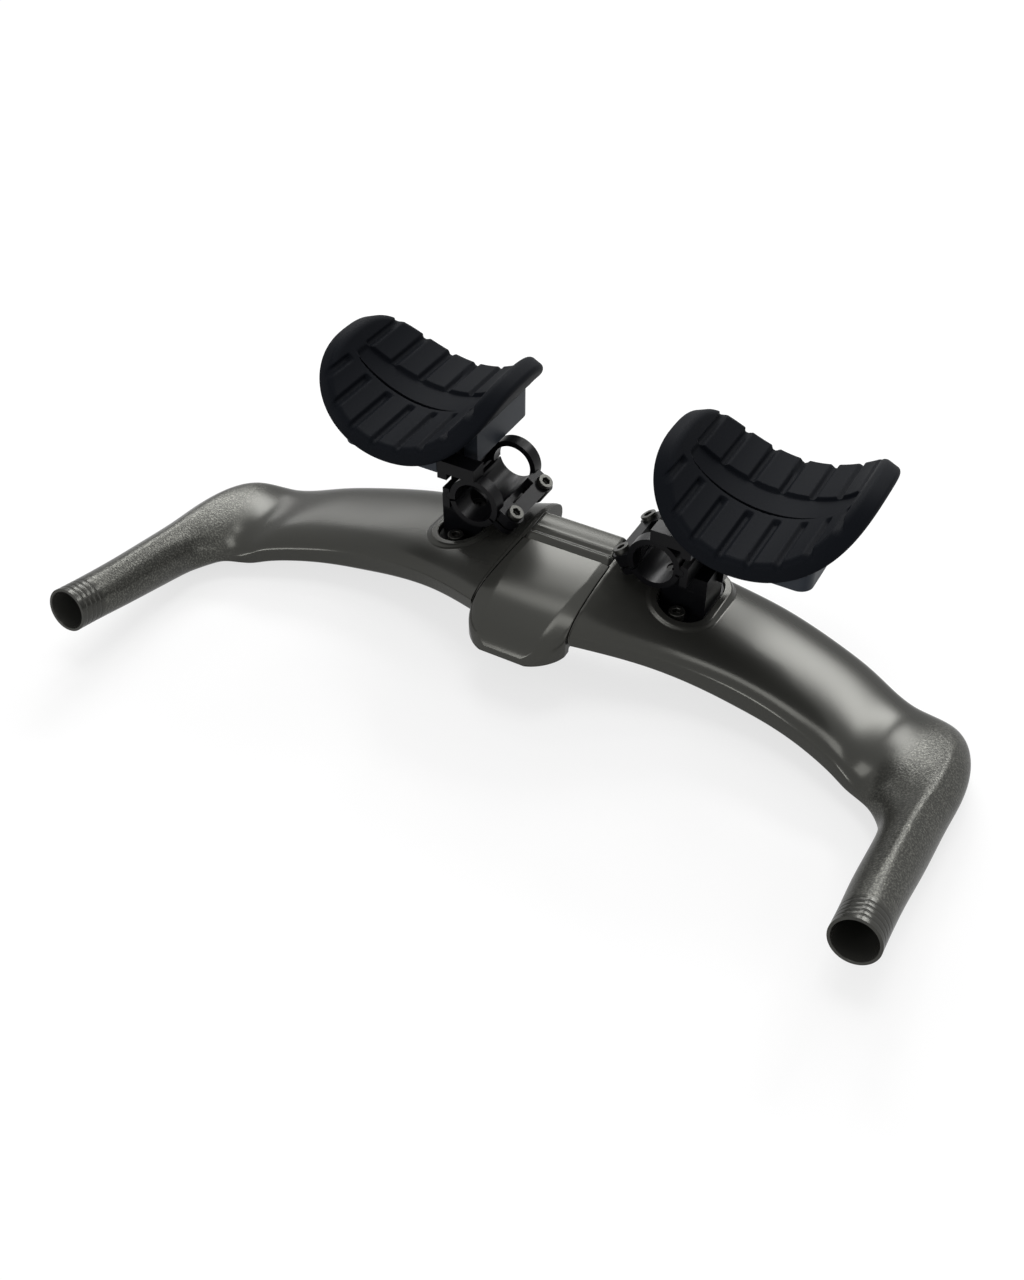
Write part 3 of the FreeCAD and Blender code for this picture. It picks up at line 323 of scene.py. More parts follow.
def section_poles(near, far, thick, form, up):
    """Control points round each section.

    Along the chord a point follows the cosine raised to the fullness, across it the sine raised to the
    squareness, and the taper thins it towards the far edge.
    """
    angle = 2 * np.pi * np.arange(SECTION_POLES) / SECTION_POLES
    cosine, sine = np.cos(angle), np.sin(angle)
    taper, fullness, squareness = form.T[:, :, None]
    along = np.sign(cosine) * np.abs(cosine) ** fullness
    across = np.sign(sine) * np.abs(sine) ** squareness * (1 - taper * along)
    chord = (far - near)[:, None] * (0.5 + 0.5 * along)[..., None]
    return near[:, None] + chord + up[:, None] * (0.5 * thick[:, None] * across)[..., None]


def natural_spline(knots, values, at):
    """Cubic through the values at the knots: slope and bend are unbroken there, and no bend at the ends."""
    step, count = np.diff(knots), len(knots)
    rise = np.diff(values, axis=0) / step[:, None]
    matrix, right = np.eye(count), np.zeros_like(values)
    inner = np.arange(1, count - 1)
    matrix[inner, inner - 1] = step[:-1]
    matrix[inner, inner] = 2 * (step[:-1] + step[1:])
    matrix[inner, inner + 1] = step[1:]
    right[inner] = 6 * np.diff(rise, axis=0)
    bend = np.linalg.solve(matrix, right)
    k = np.clip(np.searchsorted(knots, at) - 1, 0, count - 2)
    width = step[k][:, None]
    b = (at - knots[k])[:, None] / width
    a = 1 - b
    curve = ((a**3 - a) * bend[k] + (b**3 - b) * bend[k + 1]) * width**2 / 6
    return a * values[k] + b * values[k + 1] + curve


def closed_spline(poles, count):
    """Uniform closed cubic B-spline round each row of poles, at an even count of places."""
    at = np.linspace(0, SECTION_POLES, count, endpoint=False)
    first = at.astype(int)
    t = at - first
    weights = [(1 - t) ** 3, 3 * t**3 - 6 * t**2 + 4, 3 * (t + t**2 - t**3) + 1, t**3]
    near = (first[:, None] + np.arange(4)) % SECTION_POLES
    return np.einsum("uw,vuwc->vuc", np.stack(weights, axis=1) / 6, poles[:, near])


# %% [markdown]
# The wing has flat, blade-like sections that stand across the bar. In the elbow they fan out round a pivot
# in front of the shoulder, become rounder and swell a little. The grip has round ones that stand square to
# its rising axis. All are given by their near and far edge, their thickness and their form.

# %% Sections from the root to the open end
ROOT_X, SHOULDER_X, SHOULDER_LEAD = 27.0, 166.0, -65.9
WING = np.array([
    # x, leading edge, trailing edge, mid height, thickness, taper
    (ROOT_X, -72.3, 22.5, 2.5, 23.0, -0.15),
    (65.0, -55.8, 23.5, -8.0, 19.5, 0.10),
    (105.0, -50.8, 24.0, -15.5, 20.0, 0.30),
    (145.0, -57.4, 15.0, -21.5, 20.0, 0.30),
    (SHOULDER_X, SHOULDER_LEAD, 6.5, -24.5, 20.5, 0.30),
])
FULLNESS, SQUARENESS = 0.60, 0.85
ELBOW = np.array([
    # turn, taper, fullness, squareness, share of the swelling
    (13, 0.20, 0.70, 0.9, 0.15),
    (27, -0.05, 0.85, 1.0, 0.8),
    (46, 0.0, 0.95, 1.0, 1.0),
    (68, 0.0, 1.0, 1.0, 1.0),
    (90, 0.0, 1.0, 1.0, 1.0),
])
INNER_RADIUS, CORNER_TURN, ELBOW_HEIGHT = 31.0, 27, -27.0
ELBOW_THICK, ELBOW_BULGE, SHOULDER_BACK, CORNER_BACK = 26.0, 1.1, -3.0, -9.5
GRIP_END = np.array((210.0, -170.0, -4.0))
GRIP_RISE, GRIP_FLARE = math.radians(12.0), math.radians(0.8)
GRIP_ROOT, GRIP_BORE, BORE_DEPTH = 28.5, 20.6, 80.0
GRIPS = np.array([
    # share of the way from the end to the root, diameter
    (0.45, 24.6),
    (0.2, 23.8),
    (0.0, 23.8),
])

plan = np.array((math.sin(GRIP_FLARE), -math.cos(GRIP_FLARE), 0.0))
upright = np.array((0.0, 0.0, 1.0))
grip_way = plan * math.cos(GRIP_RISE) + upright * math.sin(GRIP_RISE)
grip_up = upright * math.cos(GRIP_RISE) - plan * math.sin(GRIP_RISE)
pivot = np.array((SHOULDER_X, SHOULDER_LEAD - INNER_RADIUS, 0.0))
grip_root = GRIP_END - grip_way * ((-GRIP_END[1] + pivot[1]) / -grip_way[1])


def inner_edge(share):
    """Inner edge of the elbow: a parabola that leaves along the wing's front edge and ends along the grip."""
    start = np.array((SHOULDER_X, SHOULDER_LEAD, 0.0))
    slope = (WING[-1, 1] - WING[-2, 1]) / (WING[-1, 0] - WING[-2, 0])
    bend = start + INNER_RADIUS * np.array((1.0, slope, 0.0))
    end = start + INNER_RADIUS * np.array((1.0, -1.0, 0.0))
    return start * (1 - share) ** 2 + bend * 2 * share * (1 - share) + end * share**2


def bar_sections():
    """Near and far edge, thickness, form and upward direction of every section, wing to grip end.

    A far edge of the elbow lies where its ray from the pivot meets the back line, or past the corner the
    line of the outer side, which bulges by the sine of twice the turn.
    """
    x, lead, trail, height, thick, taper = WING.T
    near = [np.stack([x, lead, height], axis=1)]
    far = [np.stack([x, trail, height], axis=1)]
    turn, swell = np.radians(ELBOW[:, 0]), ELBOW[:, 4]
    ray = np.stack([np.sin(turn), np.cos(turn), 0 * turn], axis=1)
    back = np.where(ELBOW[:, 0] < CORNER_TURN, SHOULDER_BACK, CORNER_BACK)
    reach = (back - pivot[1]) / np.maximum(np.cos(turn), 1e-9)
    outside = grip_root[0] + GRIP_ROOT / 2 - pivot[0] + ELBOW_BULGE * np.sin(2 * turn)
    reach = np.where(ELBOW[:, 0] > CORNER_TURN, outside / np.sin(turn), reach)
    share = np.maximum(0, (ELBOW[:, 0] - CORNER_TURN) / (90 - CORNER_TURN))
    lift = (ELBOW_HEIGHT + share * (grip_root[2] - ELBOW_HEIGHT))[:, None] * upright
    full = thick[-1] + swell * (ELBOW_THICK - thick[-1])
    near.append(inner_edge(ELBOW[:, :1] / 90) + lift)
    far.append(pivot + ray * reach[:, None] + lift)
    centre = GRIP_END + (grip_root - GRIP_END) * GRIPS[:, :1]
    side = np.cross(grip_up, grip_way) * GRIPS[:, 1:] / 2
    near.append(centre - side)
    far.append(centre + side)
    wing_form = np.stack([taper, np.full(len(x), FULLNESS), np.full(len(x), SQUARENESS)], axis=1)
    thick = np.concatenate([thick, full + share * (GRIP_ROOT - full), GRIPS[:, 1]])
    form = np.concatenate([wing_form, ELBOW[:, 1:4], np.tile((0.0, 1.0, 1.0), (len(GRIPS), 1))])
    up = np.concatenate([np.tile(upright, (len(x) + len(turn), 1)), np.tile(grip_up, (len(GRIPS), 1))])
    return np.concatenate(near), np.concatenate(far), thick, form, up


near, far, thick, form, up = bar_sections()
poles = section_poles(near, far, thick, form, up)
centres = poles.mean(axis=1)
knots = np.concatenate([[0.0], np.cumsum(np.linalg.norm(np.diff(centres, axis=0), axis=1))])
print("half of the bar:", len(knots), "sections over", round(knots[-1]), "mm")

# %% [markdown]
# The wing's front is blunt: a flat band about seven millimetres high, with a fine crease above and below
# it. In the grid the band comes from a soft maximum, which pushes the foremost points of each section back
# to one plane and lets the rest be. It could be cut as a chamfer, but that would leave a hard edge where
# the band fades out round the elbow.

# %% Skin of one half with its blunt front
SEAM_X, ROUND_STEPS, ROWS, END_ROWS, END_ZONE = 28.2, 176, 200, 70, 16.0
FRONT_BAND, FRONT_SOFTNESS, FRONT_REACH = 1.1, 0.25, 0.6
SHOULDER, CORNER, ELBOW_MID = 4, 6, 7  # numbers of sections, for the places along the bar


def smooth_step(x):
    """Zero below 0, one above 1, and 3x squared less 2x cubed between."""
    x = np.clip(x, 0, 1)
    return x * x * (3 - 2 * x)


def soft_max(a, b, softness):
    """The larger of two values, rounded where they are nearly equal.

    It is half of their sum plus the root of their squared difference and the squared softness.
    """
    return 0.5 * (a + b + np.sqrt((a - b) ** 2 + softness**2))


def spread(values, at):
    """Rows of values, of any shape, carried along the bar by the natural spline."""
    flat = values.reshape(len(values), -1)
    return natural_spline(knots, flat, at).reshape(len(at), *values.shape[1:])


first_millimetres = np.linspace(0, 5, 50)
seam = np.interp(SEAM_X, spread(near, first_millimetres)[:, 0], first_millimetres)
end_zone = knots[-1] - END_ZONE
rows_at = np.concatenate([
    np.linspace(seam, end_zone, ROWS, endpoint=False),
    np.linspace(end_zone, knots[-1], END_ROWS),
])
shell = closed_spline(spread(poles, rows_at), ROUND_STEPS)
near_edge = spread(near, rows_at)
chord = spread(far - near, rows_at)
length = np.linalg.norm(chord, axis=1)
chord = (chord / length[:, None])[:, None]
depth = ((shell - near_edge[:, None]) * chord).sum(axis=2)
front = depth.min(axis=1, keepdims=True)
into_elbow = (rows_at - knots[SHOULDER]) / (knots[ELBOW_MID] - knots[SHOULDER])
band = FRONT_BAND * (1 - smooth_step(into_elbow))[:, None]
blunt = soft_max(depth, front + band, FRONT_SOFTNESS * band / FRONT_BAND + 1e-6)
front_share = (1 - np.clip((depth - front) / (FRONT_REACH * length[:, None]), 0, 1)) ** 2
shell = shell + chord * (blunt - depth - band * front_share)[..., None]
print("skin of", shell.shape[:2], "points, front band", FRONT_BAND, "mm deep")

# %% [markdown]
# Two finer forms shape the elbow. Below the leading edge the skin is drawn up a little, so that the lower
# line of the wing runs on into the grip without a bump. Over the top of the elbow runs a soft ridge that
# parts an upper facet from the outer side, and it dies out along the grip. Both are small moves of the
# points, faded along the bar, because changed sections would bend all the rest with them.

# %% Undercut and ridge of the elbow
UNDERCUT_FROM, UNDERCUT_TO, RIDGE_FROM = 2, 8, 5  # numbers of sections again
UNDERCUT, RIDGE_WIDTH = 0.5, 12.0
RIDGE_TURN = np.array((30.0, 52.0, 74.0, 88.0, 93.0, 93.0, 92.0, 90.0))  # degrees round each section
RIDGE_HEIGHT = np.array((0.0, 1.3, 2.2, 2.2, 1.8, 1.0, 0.4, 0.0))

below = np.minimum(shell[..., 2] - near_edge[:, 2:], 0)
coming = smooth_step((rows_at - knots[UNDERCUT_FROM]) / (knots[SHOULDER] - knots[UNDERCUT_FROM]))
going = smooth_step((rows_at - knots[CORNER]) / (knots[UNDERCUT_TO] - knots[CORNER]))
shell[..., 2] -= UNDERCUT * (coming * (1 - going))[:, None] * front_share * below

round_turn = 360 * (1 / SECTION_POLES + np.arange(ROUND_STEPS) / ROUND_STEPS)
crest_turn = np.interp(rows_at, knots[RIDGE_FROM:], RIDGE_TURN)[:, None]
off_crest = (round_turn - crest_turn + 180) % 360 - 180
ridge_height = np.interp(rows_at, knots[RIDGE_FROM:], RIDGE_HEIGHT)[:, None]
ridge = ridge_height * np.exp(1 - np.sqrt((off_crest / RIDGE_WIDTH) ** 2 + 1))
outward = shell - shell.mean(axis=1, keepdims=True)
shell = shell + outward / np.linalg.norm(outward, axis=2, keepdims=True) * ridge[..., None]
print("ridge up to", round(ridge.max(), 1), "mm high")

# %% [markdown]
# Near the open end four shallow rings are engraved round the grip, and the wall turns inwards there to the
# bore. The rings are dips in the radius, and the bore is a few more rows of the grid: the last section,
# made smaller and moved back along the axis of the grip.

# %% Rings and bore of the grip
RINGS, RING_DEPTH, RING_WIDTH = np.array((3.2, 6.4, 9.6, 12.8)), 0.18, 0.4
BORE_SHARE = GRIP_BORE / GRIPS[-1, 1]
# rows of the end: how small each gets and how far back it lies, two for the rim and three for the bore
END_SCALES = np.array((0.985, BORE_SHARE + 0.015, BORE_SHARE, BORE_SHARE, 0.0))
END_BACKS = np.array((-0.15, -0.15, 0.1, BORE_DEPTH, BORE_DEPTH))

to_end = knots[-1] - rows_at
ring = RING_DEPTH * np.exp(-(((to_end[:, None] - RINGS) / RING_WIDTH) ** 2)).sum(axis=1)
axis_points = shell.mean(axis=1, keepdims=True)
shell = axis_points + (shell - axis_points) * (1 - ring / (GRIPS[-1, 1] / 2))[:, None, None]
end_ring = (shell[-1] - axis_points[-1]) * END_SCALES[:, None, None]
shell = np.concatenate([shell, axis_points[-1] + end_ring - grip_way * END_BACKS[:, None, None]])
print("grid of", shell.shape[:2], "points with", len(RINGS), "rings")

# %% [markdown]
# ## Bosses
# Each clamp foot stands in a slot-shaped recess with a raised, rounded rim. The rim grows out of the wing,
# so its grid starts on the wing's own skin, read from a table of heights, rises over a soft crest, goes
# down the wall and closes in the middle of the floor. A boolean cut would do for the hole, but not for the
# soft rim.

# %% Boss rims and recesses
BOSS_X, BOSS_Y, RECESS_RADIUS, RECESS_RUN, RECESS_FLOOR = 65.0, -7.0, 13.0, 11.0, -7.0
RIM_CREST, RIM_RISE, RIM_BLEND, RIM_FLAT, RIM_EDGE, RIM_SOFTNESS = -0.8, 1.2, 6.6, 3.2, 0.8, 0.8
RIM_LIFT, RIM_TOP, EDGE_START = 0.03, 1.0, 0.9
STRAIGHT_STEPS, TURN_STEPS, RIM_ROWS, EDGE_ROWS, WALL_ROWS, FLOOR_ROWS = 40, 100, 40, 12, 8, 6
TABLE_REACH, TABLE_FRONT, TABLE_BACK, TABLE_STEPS, TABLE_MARGIN = 110, -70, 20, 270, 2

table_y = np.linspace(TABLE_FRONT, TABLE_BACK, TABLE_STEPS)
table_rows = shell[shell[:, 0, 0] < TABLE_REACH]
upper = slice(TABLE_MARGIN, ROUND_STEPS // 2 - TABLE_MARGIN)
top_table = np.array([np.interp(table_y, row[upper][::-1, 1], row[upper][::-1, 2]) for row in table_rows])
table_x = table_rows[:, 0, 0]


def wing_top(x, y):
    """Height of the wing's upper side over a point of the plan, by straight interpolation in the table."""
    i = np.clip(np.searchsorted(table_x, x) - 1, 0, len(table_x) - 2)
    j = np.clip(np.searchsorted(table_y, y) - 1, 0, len(table_y) - 2)
    s = (x - table_x[i]) / (table_x[i + 1] - table_x[i])
    t = (y - table_y[j]) / (table_y[j + 1] - table_y[j])
    low = top_table[i, j] * (1 - t) + top_table[i, j + 1] * t
    high = top_table[i + 1, j] * (1 - t) + top_table[i + 1, j + 1] * t
    return low * (1 - s) + high * s


def boss_grid():
    """Rim and recess: offsets of the slot's outline, which is two straight runs joined by half circles.

    From outside in, a smooth step lifts the skin to the crest, a quarter circle rounds the edge, the wall
    goes straight down and the floor shrinks to the slot's middle line.
    """
    straight = np.linspace(-1, 1, STRAIGHT_STEPS)[1:-1]
    half_turn = np.linspace(0, np.pi, TURN_STEPS)
    way = np.concatenate([
        np.stack([np.ones_like(straight), 0 * straight], axis=1),
        np.stack([np.cos(half_turn), np.sin(half_turn)], axis=1),
        np.stack([-np.ones_like(straight), 0 * straight], axis=1),
        np.stack([-np.cos(half_turn), -np.sin(half_turn)], axis=1),
    ])
    end = np.ones_like(half_turn)
    slide = np.concatenate([straight, end, -straight, -end]) * RECESS_RUN
    out = np.concatenate([np.linspace(RIM_BLEND, RIM_TOP, RIM_ROWS), np.linspace(EDGE_START, 0.0, EDGE_ROWS)])
    x = BOSS_X + (RECESS_RADIUS + out[:, None]) * way[:, 0]
    y = BOSS_Y + slide + (RECESS_RADIUS + out[:, None]) * way[:, 1]
    skin = wing_top(x, y)
    crest = soft_max(skin + RIM_RISE, np.full_like(skin, RIM_CREST), RIM_SOFTNESS)
    rise = smooth_step((RIM_BLEND - out) / (RIM_BLEND - RIM_FLAT))[:, None]
    corner = RIM_EDGE - np.sqrt(np.maximum(RIM_EDGE**2 - np.maximum(RIM_EDGE - out, 0) ** 2, 0))
    top = np.stack([x, y, skin + rise * (crest - skin) + RIM_LIFT - corner[:, None]], axis=2)
    wall = np.linspace(0, 1, WALL_ROWS)[1:, None]
    last = top[-1]
    down = np.repeat(last[None], len(wall), axis=0)
    down[..., 2] = last[:, 2] + (RECESS_FLOOR - last[:, 2]) * wall
    inward = np.linspace(1, 0, FLOOR_ROWS)[1:, None]
    floor = np.stack([
        BOSS_X + RECESS_RADIUS * inward * way[:, 0],
        BOSS_Y + slide + RECESS_RADIUS * inward * way[:, 1],
        np.full((len(inward), len(slide)), RECESS_FLOOR),
    ], axis=2)
    return np.concatenate([top, down, floor])


boss = boss_grid()
print("boss grid of", boss.shape[:2], "points")

# %% [markdown]
# ## Meshes of the two halves
# A grid becomes a mesh of four-cornered cells. The left half is the mirror image of the right one, so its
# cells are wound the other way round and still face outwards. A Mirror modifier could do that, but each
# half is its own piece here. Cells of the wing that lie under a rim are left out, and the share of grain is
# kept with the points.

# %% Meshes of wings and rims
MERGE, SKIN_SHARP = 0.0005 * MM, 38
HIDDEN_UNDER_RIM = 2.6
GRAIN_PLACE = np.array((200.0, -8.0))  # a point of the slanting line
GRAIN_ACROSS = np.array((67.0, -16.0))  # the way across it, outboard
GRAIN_LEAD, GRAIN_RUN = 6.0, 16.0
RING_MARGIN, RING_RUN = 1.0, 3.0
SIDES = {"right": 1, "left": -1}


def grid_faces(rows, columns, closed=True):
    """Four corners of each cell of a grid, row by row; a closed grid joins its last column to its first."""
    row = np.arange(rows - 1)[:, None]
    column = np.arange(columns if closed else columns - 1)[None]
    here, after = row * columns, (column + 1) % columns
    cells = [here + column, here + after, here + columns + after, here + columns + column]
    return np.stack(np.broadcast_arrays(*cells), axis=-1).reshape(-1, 4)


def coat(mesh, material, sharp):
    """One finish for the whole mesh, and smooth shading but for edges that bend by over sharp degrees."""
    if "custom_normal" in mesh.attributes:
        mesh.attributes.remove(mesh.attributes["custom_normal"])
    mesh.materials.clear()
    mesh.materials.append(material)
    mesh.shade_smooth()
    mesh.set_sharp_from_angle(angle=math.radians(sharp))


def surface(name, points, faces, slot, turn=False, grain=None):
    """Smooth mesh of points in millimetres; turn swaps the winding for a mirror; grain is per point."""
    mesh = bpy.data.meshes.new(name)
    order = faces[:, ::-1] if turn else faces
    mesh.from_pydata((points.reshape(-1, 3) * MM).tolist(), [], order.tolist())
    if grain is not None:
        shares = mesh.attributes.new("grain", "FLOAT", "POINT")
        shares.data.foreach_set("value", grain.ravel().astype(np.float32))
    work = bmesh.new()
    work.from_mesh(mesh)
    bmesh.ops.remove_doubles(work, verts=work.verts, dist=MERGE)
    work.to_mesh(mesh)
    work.free()
    coat(mesh, FINISHES[slot], SKIN_SHARP)
    return new_object(name, mesh)


def stand_for(obj, node):
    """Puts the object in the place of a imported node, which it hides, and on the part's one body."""
    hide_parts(node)
    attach(obj, "root")


cells = grid_faces(*shell.shape[:2])
middle = shell.reshape(-1, 3)[cells].mean(axis=1)
heights = np.concatenate([axis_points[:, 0, 2], np.zeros(len(END_SCALES))])
section_height = np.repeat(heights, ROUND_STEPS)[cells].mean(axis=1)
off_middle = np.hypot(middle[:, 0] - BOSS_X, np.maximum(np.abs(middle[:, 1] - BOSS_Y) - RECESS_RUN, 0))
under_rim = (off_middle - RECESS_RADIUS < HIDDEN_UNDER_RIM) & (middle[:, 2] > section_height)
outboard = (shell[..., :2] - GRAIN_PLACE) @ (GRAIN_ACROSS / np.linalg.norm(GRAIN_ACROSS))
rings_away = np.concatenate([to_end - RINGS[-1] - RING_MARGIN, np.full(len(END_SCALES), -1.0)])
grain = smooth_step((outboard + GRAIN_LEAD) / GRAIN_RUN) * smooth_step(rings_away / RING_RUN)[:, None]
for name, side in SIDES.items():
    mirror = np.array((side, 1, 1))
    wing_cells, rim_cells = cells[~under_rim], grid_faces(*boss.shape[:2])
    wing = surface(f"{name}_wing_and_grip", shell * mirror, wing_cells, "moulded_carbon", side < 0, grain)
    rim = surface(f"{name}_boss_rim", boss * mirror, rim_cells, "moulded_carbon", side > 0)
    for obj in (wing, rim):
        stand_for(obj, "base_bar")
print("removed", int(under_rim.sum()), "cells under each rim")

# %% [markdown]
# ## Centre of the bar
# Between the two wing roots the bar has flat seats, holes and a tray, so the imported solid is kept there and
# only cut off at the seams. The band behind the cover is moulded with two soft ridges: its top is taken off
# the copy and made again as a grid, a rounded profile drawn across the bar with both ends eased down.

# %% Centre of the bar
JOIN, CENTRE_SHARP = 0.002 * MM, 25
LIP_FRONT, LIP_TOP, LIP_HALF, LIP_CUT, LIP_LOW = -22.0, 17.5, 25.0, 13.8, 12.0
LIP_ROUND, LIP_SLACK, LIP_ROWS, LIP_COLUMNS = 3.0, 0.05, 90, 120
LIP_BACK = np.array((0.0, 1.2, 4.0, 6.0, 8.0, 10.5, 13.0, 20.0, 21.3, 22.0))
LIP_DROP = np.array((3.4, 2.5, 1.1, 1.9, 1.0, 0.6, 0.42, 0.0, 0.4, 1.6))


def bar_centre():
    """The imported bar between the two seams: joined, cut at both planes, and without the top of the lip."""
    work = bmesh.new()
    work.from_mesh(frame["nodes"]["base_bar"].data)
    bmesh.ops.remove_doubles(work, verts=work.verts, dist=JOIN)
    seams = [((side * SEAM_X, 0, 0), (side, 0, 0), True) for side in SIDES.values()]
    for place, way, clear in (*seams, ((0, 0, LIP_CUT), (0, 0, 1), False)):
        everything = work.verts[:] + work.edges[:] + work.faces[:]
        at = [c * MM for c in place]
        bmesh.ops.bisect_plane(work, geom=everything, plane_co=at, plane_no=way, clear_outer=clear)
    lip = []
    for face in work.faces:
        x, y, z = face.calc_center_median() / MM
        if z > LIP_CUT and abs(x) < LIP_HALF + LIP_SLACK and y > LIP_FRONT - LIP_SLACK:
            lip.append(face)
    bmesh.ops.delete(work, geom=lip, context="FACES")
    mesh = bpy.data.meshes.new("bar_centre")
    work.to_mesh(mesh)
    work.free()
    return mesh


def lip_grid():
    """Profile of the lip, a smooth line of ridges, drawn across the bar; both ends fall by a round corner."""
    back = np.linspace(0, LIP_BACK[-1], LIP_COLUMNS)
    drop = natural_spline(LIP_BACK, LIP_DROP[:, None], back)[:, 0]
    y = np.concatenate([[0.0], back, [LIP_BACK[-1]]]) + LIP_FRONT
    x = LIP_HALF * np.sin(np.linspace(-np.pi / 2, np.pi / 2, LIP_ROWS))
    inside = LIP_HALF - np.abs(x)
    ease = LIP_ROUND - np.sqrt(LIP_ROUND**2 - np.maximum(LIP_ROUND - inside, 0) ** 2)
    height = np.concatenate([[LIP_LOW - LIP_TOP], -drop, [LIP_LOW - LIP_TOP]])[None] - ease[:, None]
    height = np.maximum(height + LIP_TOP, LIP_LOW)
    return np.stack([x[:, None] + 0 * y, y + 0 * x[:, None], height], axis=2)


centre_mesh = bar_centre()
coat(centre_mesh, FINISHES["moulded_carbon"], CENTRE_SHARP)
lip = lip_grid()
lip_band = surface("lip_band", lip, grid_faces(*lip.shape[:2], closed=False), "moulded_carbon")
for obj in (new_object("bar_centre", centre_mesh), lip_band):
    stand_for(obj, "base_bar")
print("centre of", len(centre_mesh.polygons), "faces, lip grid of", lip.shape[:2], "points")

# %% [markdown]
# ## Nose cover
# The cover is a thin moulding that hides the stem bolts. Its sides lie flush with the wing roots and leave
# only a fine parting line. Each row of the grid is a closed loop: over the crown from side to side, down a
# wall, and back below. The crown falls slowly to the nose and turns over a soft edge into the blunt front.
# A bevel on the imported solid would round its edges, but not give the slow fall of the crown.

# %% Nose cover
COVER_BACK, COVER_FRONT, COVER_BOTTOM, COVER_TOP, COVER_LEAST = -22.4, -89.6, -7.0, 14.6, 0.5
COVER_CORNER, COVER_STRAIGHT, COVER_GAP, COVER_BLUNT = 17.0, 10.5, 0.5, 1.6
COVER_ROWS, COVER_COLUMNS, COVER_CROWDING = 150, 140, 0.7
FRONT_SHY = 0.4  # the last row stops this short of the end of the corner
COVER_FLARE = COVER_FRONT + COVER_CORNER - FRONT_SHY
FLARE_HALF, BACK_HALF = 27.5, 25.5
CROWN_REACH, CROWN_POWER, CROWN_ROUND = 68.6, 3, 0.6
FLUSH_Y = np.array((-66.0, -62.0, -56.0, -50.0, -40.0, -30.0, -20.0))
NOSE_Y, NOSE_DROP = np.array((-92.0, -80.0, -74.0)), np.array((3.0, 3.2, 3.4))
SIDE_ROUND, NOSE_ROUND, NOSE_FROM, NOSE_RUN = 0.4, 3.0, -66, 12
PLATEAU_FRONT, PLATEAU_NARROW, PLATEAU_WIDE, PLATEAU_MOST = -84, 15.5, 22.5, 0.8
CREASE_SOFTNESS, CREASE_REACH = 0.2, 0.82
SIDE_LOW, SIDE_LOW_TO = -4.7, -69


def cover_half(y):
    """Half width of the cover's plan: straight flared sides, then blunt rounds down to the straight front."""
    side = np.interp(y, (COVER_FLARE, COVER_BACK), (FLARE_HALF, BACK_HALF)) - COVER_GAP
    into = np.clip((COVER_FLARE - y) / COVER_CORNER, 0, 1)
    corner = (COVER_CORNER - COVER_GAP) * (1 - into**COVER_BLUNT) ** (1 / COVER_BLUNT)
    return np.where(y < COVER_FLARE, COVER_STRAIGHT + corner, side)


def crown_height(y):
    """Height of the cover's middle line: one less the cubed way along, raised to a power below one."""
    along = (LIP_FRONT - y).clip(0) / CROWN_REACH
    return COVER_BOTTOM + (COVER_TOP - COVER_BOTTOM) * (1 - along**CROWN_POWER) ** CROWN_ROUND


def cover_grid():
    """Loops of the cover: flat over a plateau, then a soft crease and a slope to an edge with a round corner.

    The drop from crown to edge is a spline through the heights of the wing, so that both lie flush.
    """
    y = COVER_BACK + (COVER_FRONT - COVER_BACK) * np.linspace(0, 1, COVER_ROWS) ** COVER_CROWDING
    side_drop = crown_height(FLUSH_Y) - wing_top(np.full(len(FLUSH_Y), ROOT_X), FLUSH_Y)
    drops = np.concatenate([NOSE_DROP, side_drop])[:, None]
    drop = natural_spline(np.concatenate([NOSE_Y, FLUSH_Y]), drops, y)
    across = np.sin(np.linspace(-np.pi / 2, np.pi / 2, COVER_COLUMNS))
    half = cover_half(y)[:, None]
    edge = (1 - np.abs(across)) * half
    radius = (SIDE_ROUND + NOSE_ROUND * smooth_step((NOSE_FROM - y) / NOSE_RUN))[:, None]
    corner = radius - np.sqrt(radius**2 - np.maximum(radius - edge, 0) ** 2)
    plateau = np.interp(y, (PLATEAU_FRONT, COVER_BACK), (PLATEAU_NARROW, PLATEAU_WIDE))[:, None]
    plateau = plateau.clip(max=PLATEAU_MOST * half)
    slope = np.maximum(np.abs(across) * half - plateau, 0) / (half - plateau)
    fall = (np.sqrt(slope**2 + CREASE_SOFTNESS**2) - CREASE_SOFTNESS) / CREASE_REACH
    low = np.where(y > SIDE_LOW_TO, SIDE_LOW, COVER_BOTTOM)[:, None]
    height = np.maximum(crown_height(y)[:, None] - drop * fall - corner, low + COVER_LEAST)
    top = np.stack([across * half, y[:, None] + 0 * across, height], axis=2)
    below = top[:, ::-1].copy()
    below[..., 2] = low
    loops = np.concatenate([top, below], axis=1)
    ends = [np.repeat(loops[i].mean(axis=0)[None], loops.shape[1], axis=0)[None] for i in (0, -1)]
    return np.concatenate([ends[0], loops, ends[1]])


cover = cover_grid()
cover_piece = surface("nose_cover_moulding", cover, grid_faces(*cover.shape[:2]), "moulded_carbon", True)
stand_for(cover_piece, "nose_cover")
print("cover grid of", cover.shape[:2], "points")

# %% [markdown]
# ## Arm pads
# A pad is a thick slab of moulded foam, bent into a dish. Its top has two rows of blocks, parted by grooves
# from front to back and by a shallow, lens-shaped valley between the rows. The foam is dense and holds its
# moulded shape, so the pad needs no cloth simulation. The grid is a polar one: rings from the middle to a
# rounded rim, down the side and in again below. The pattern is a depth worked out for every point of the
# flat slab before it is bent.

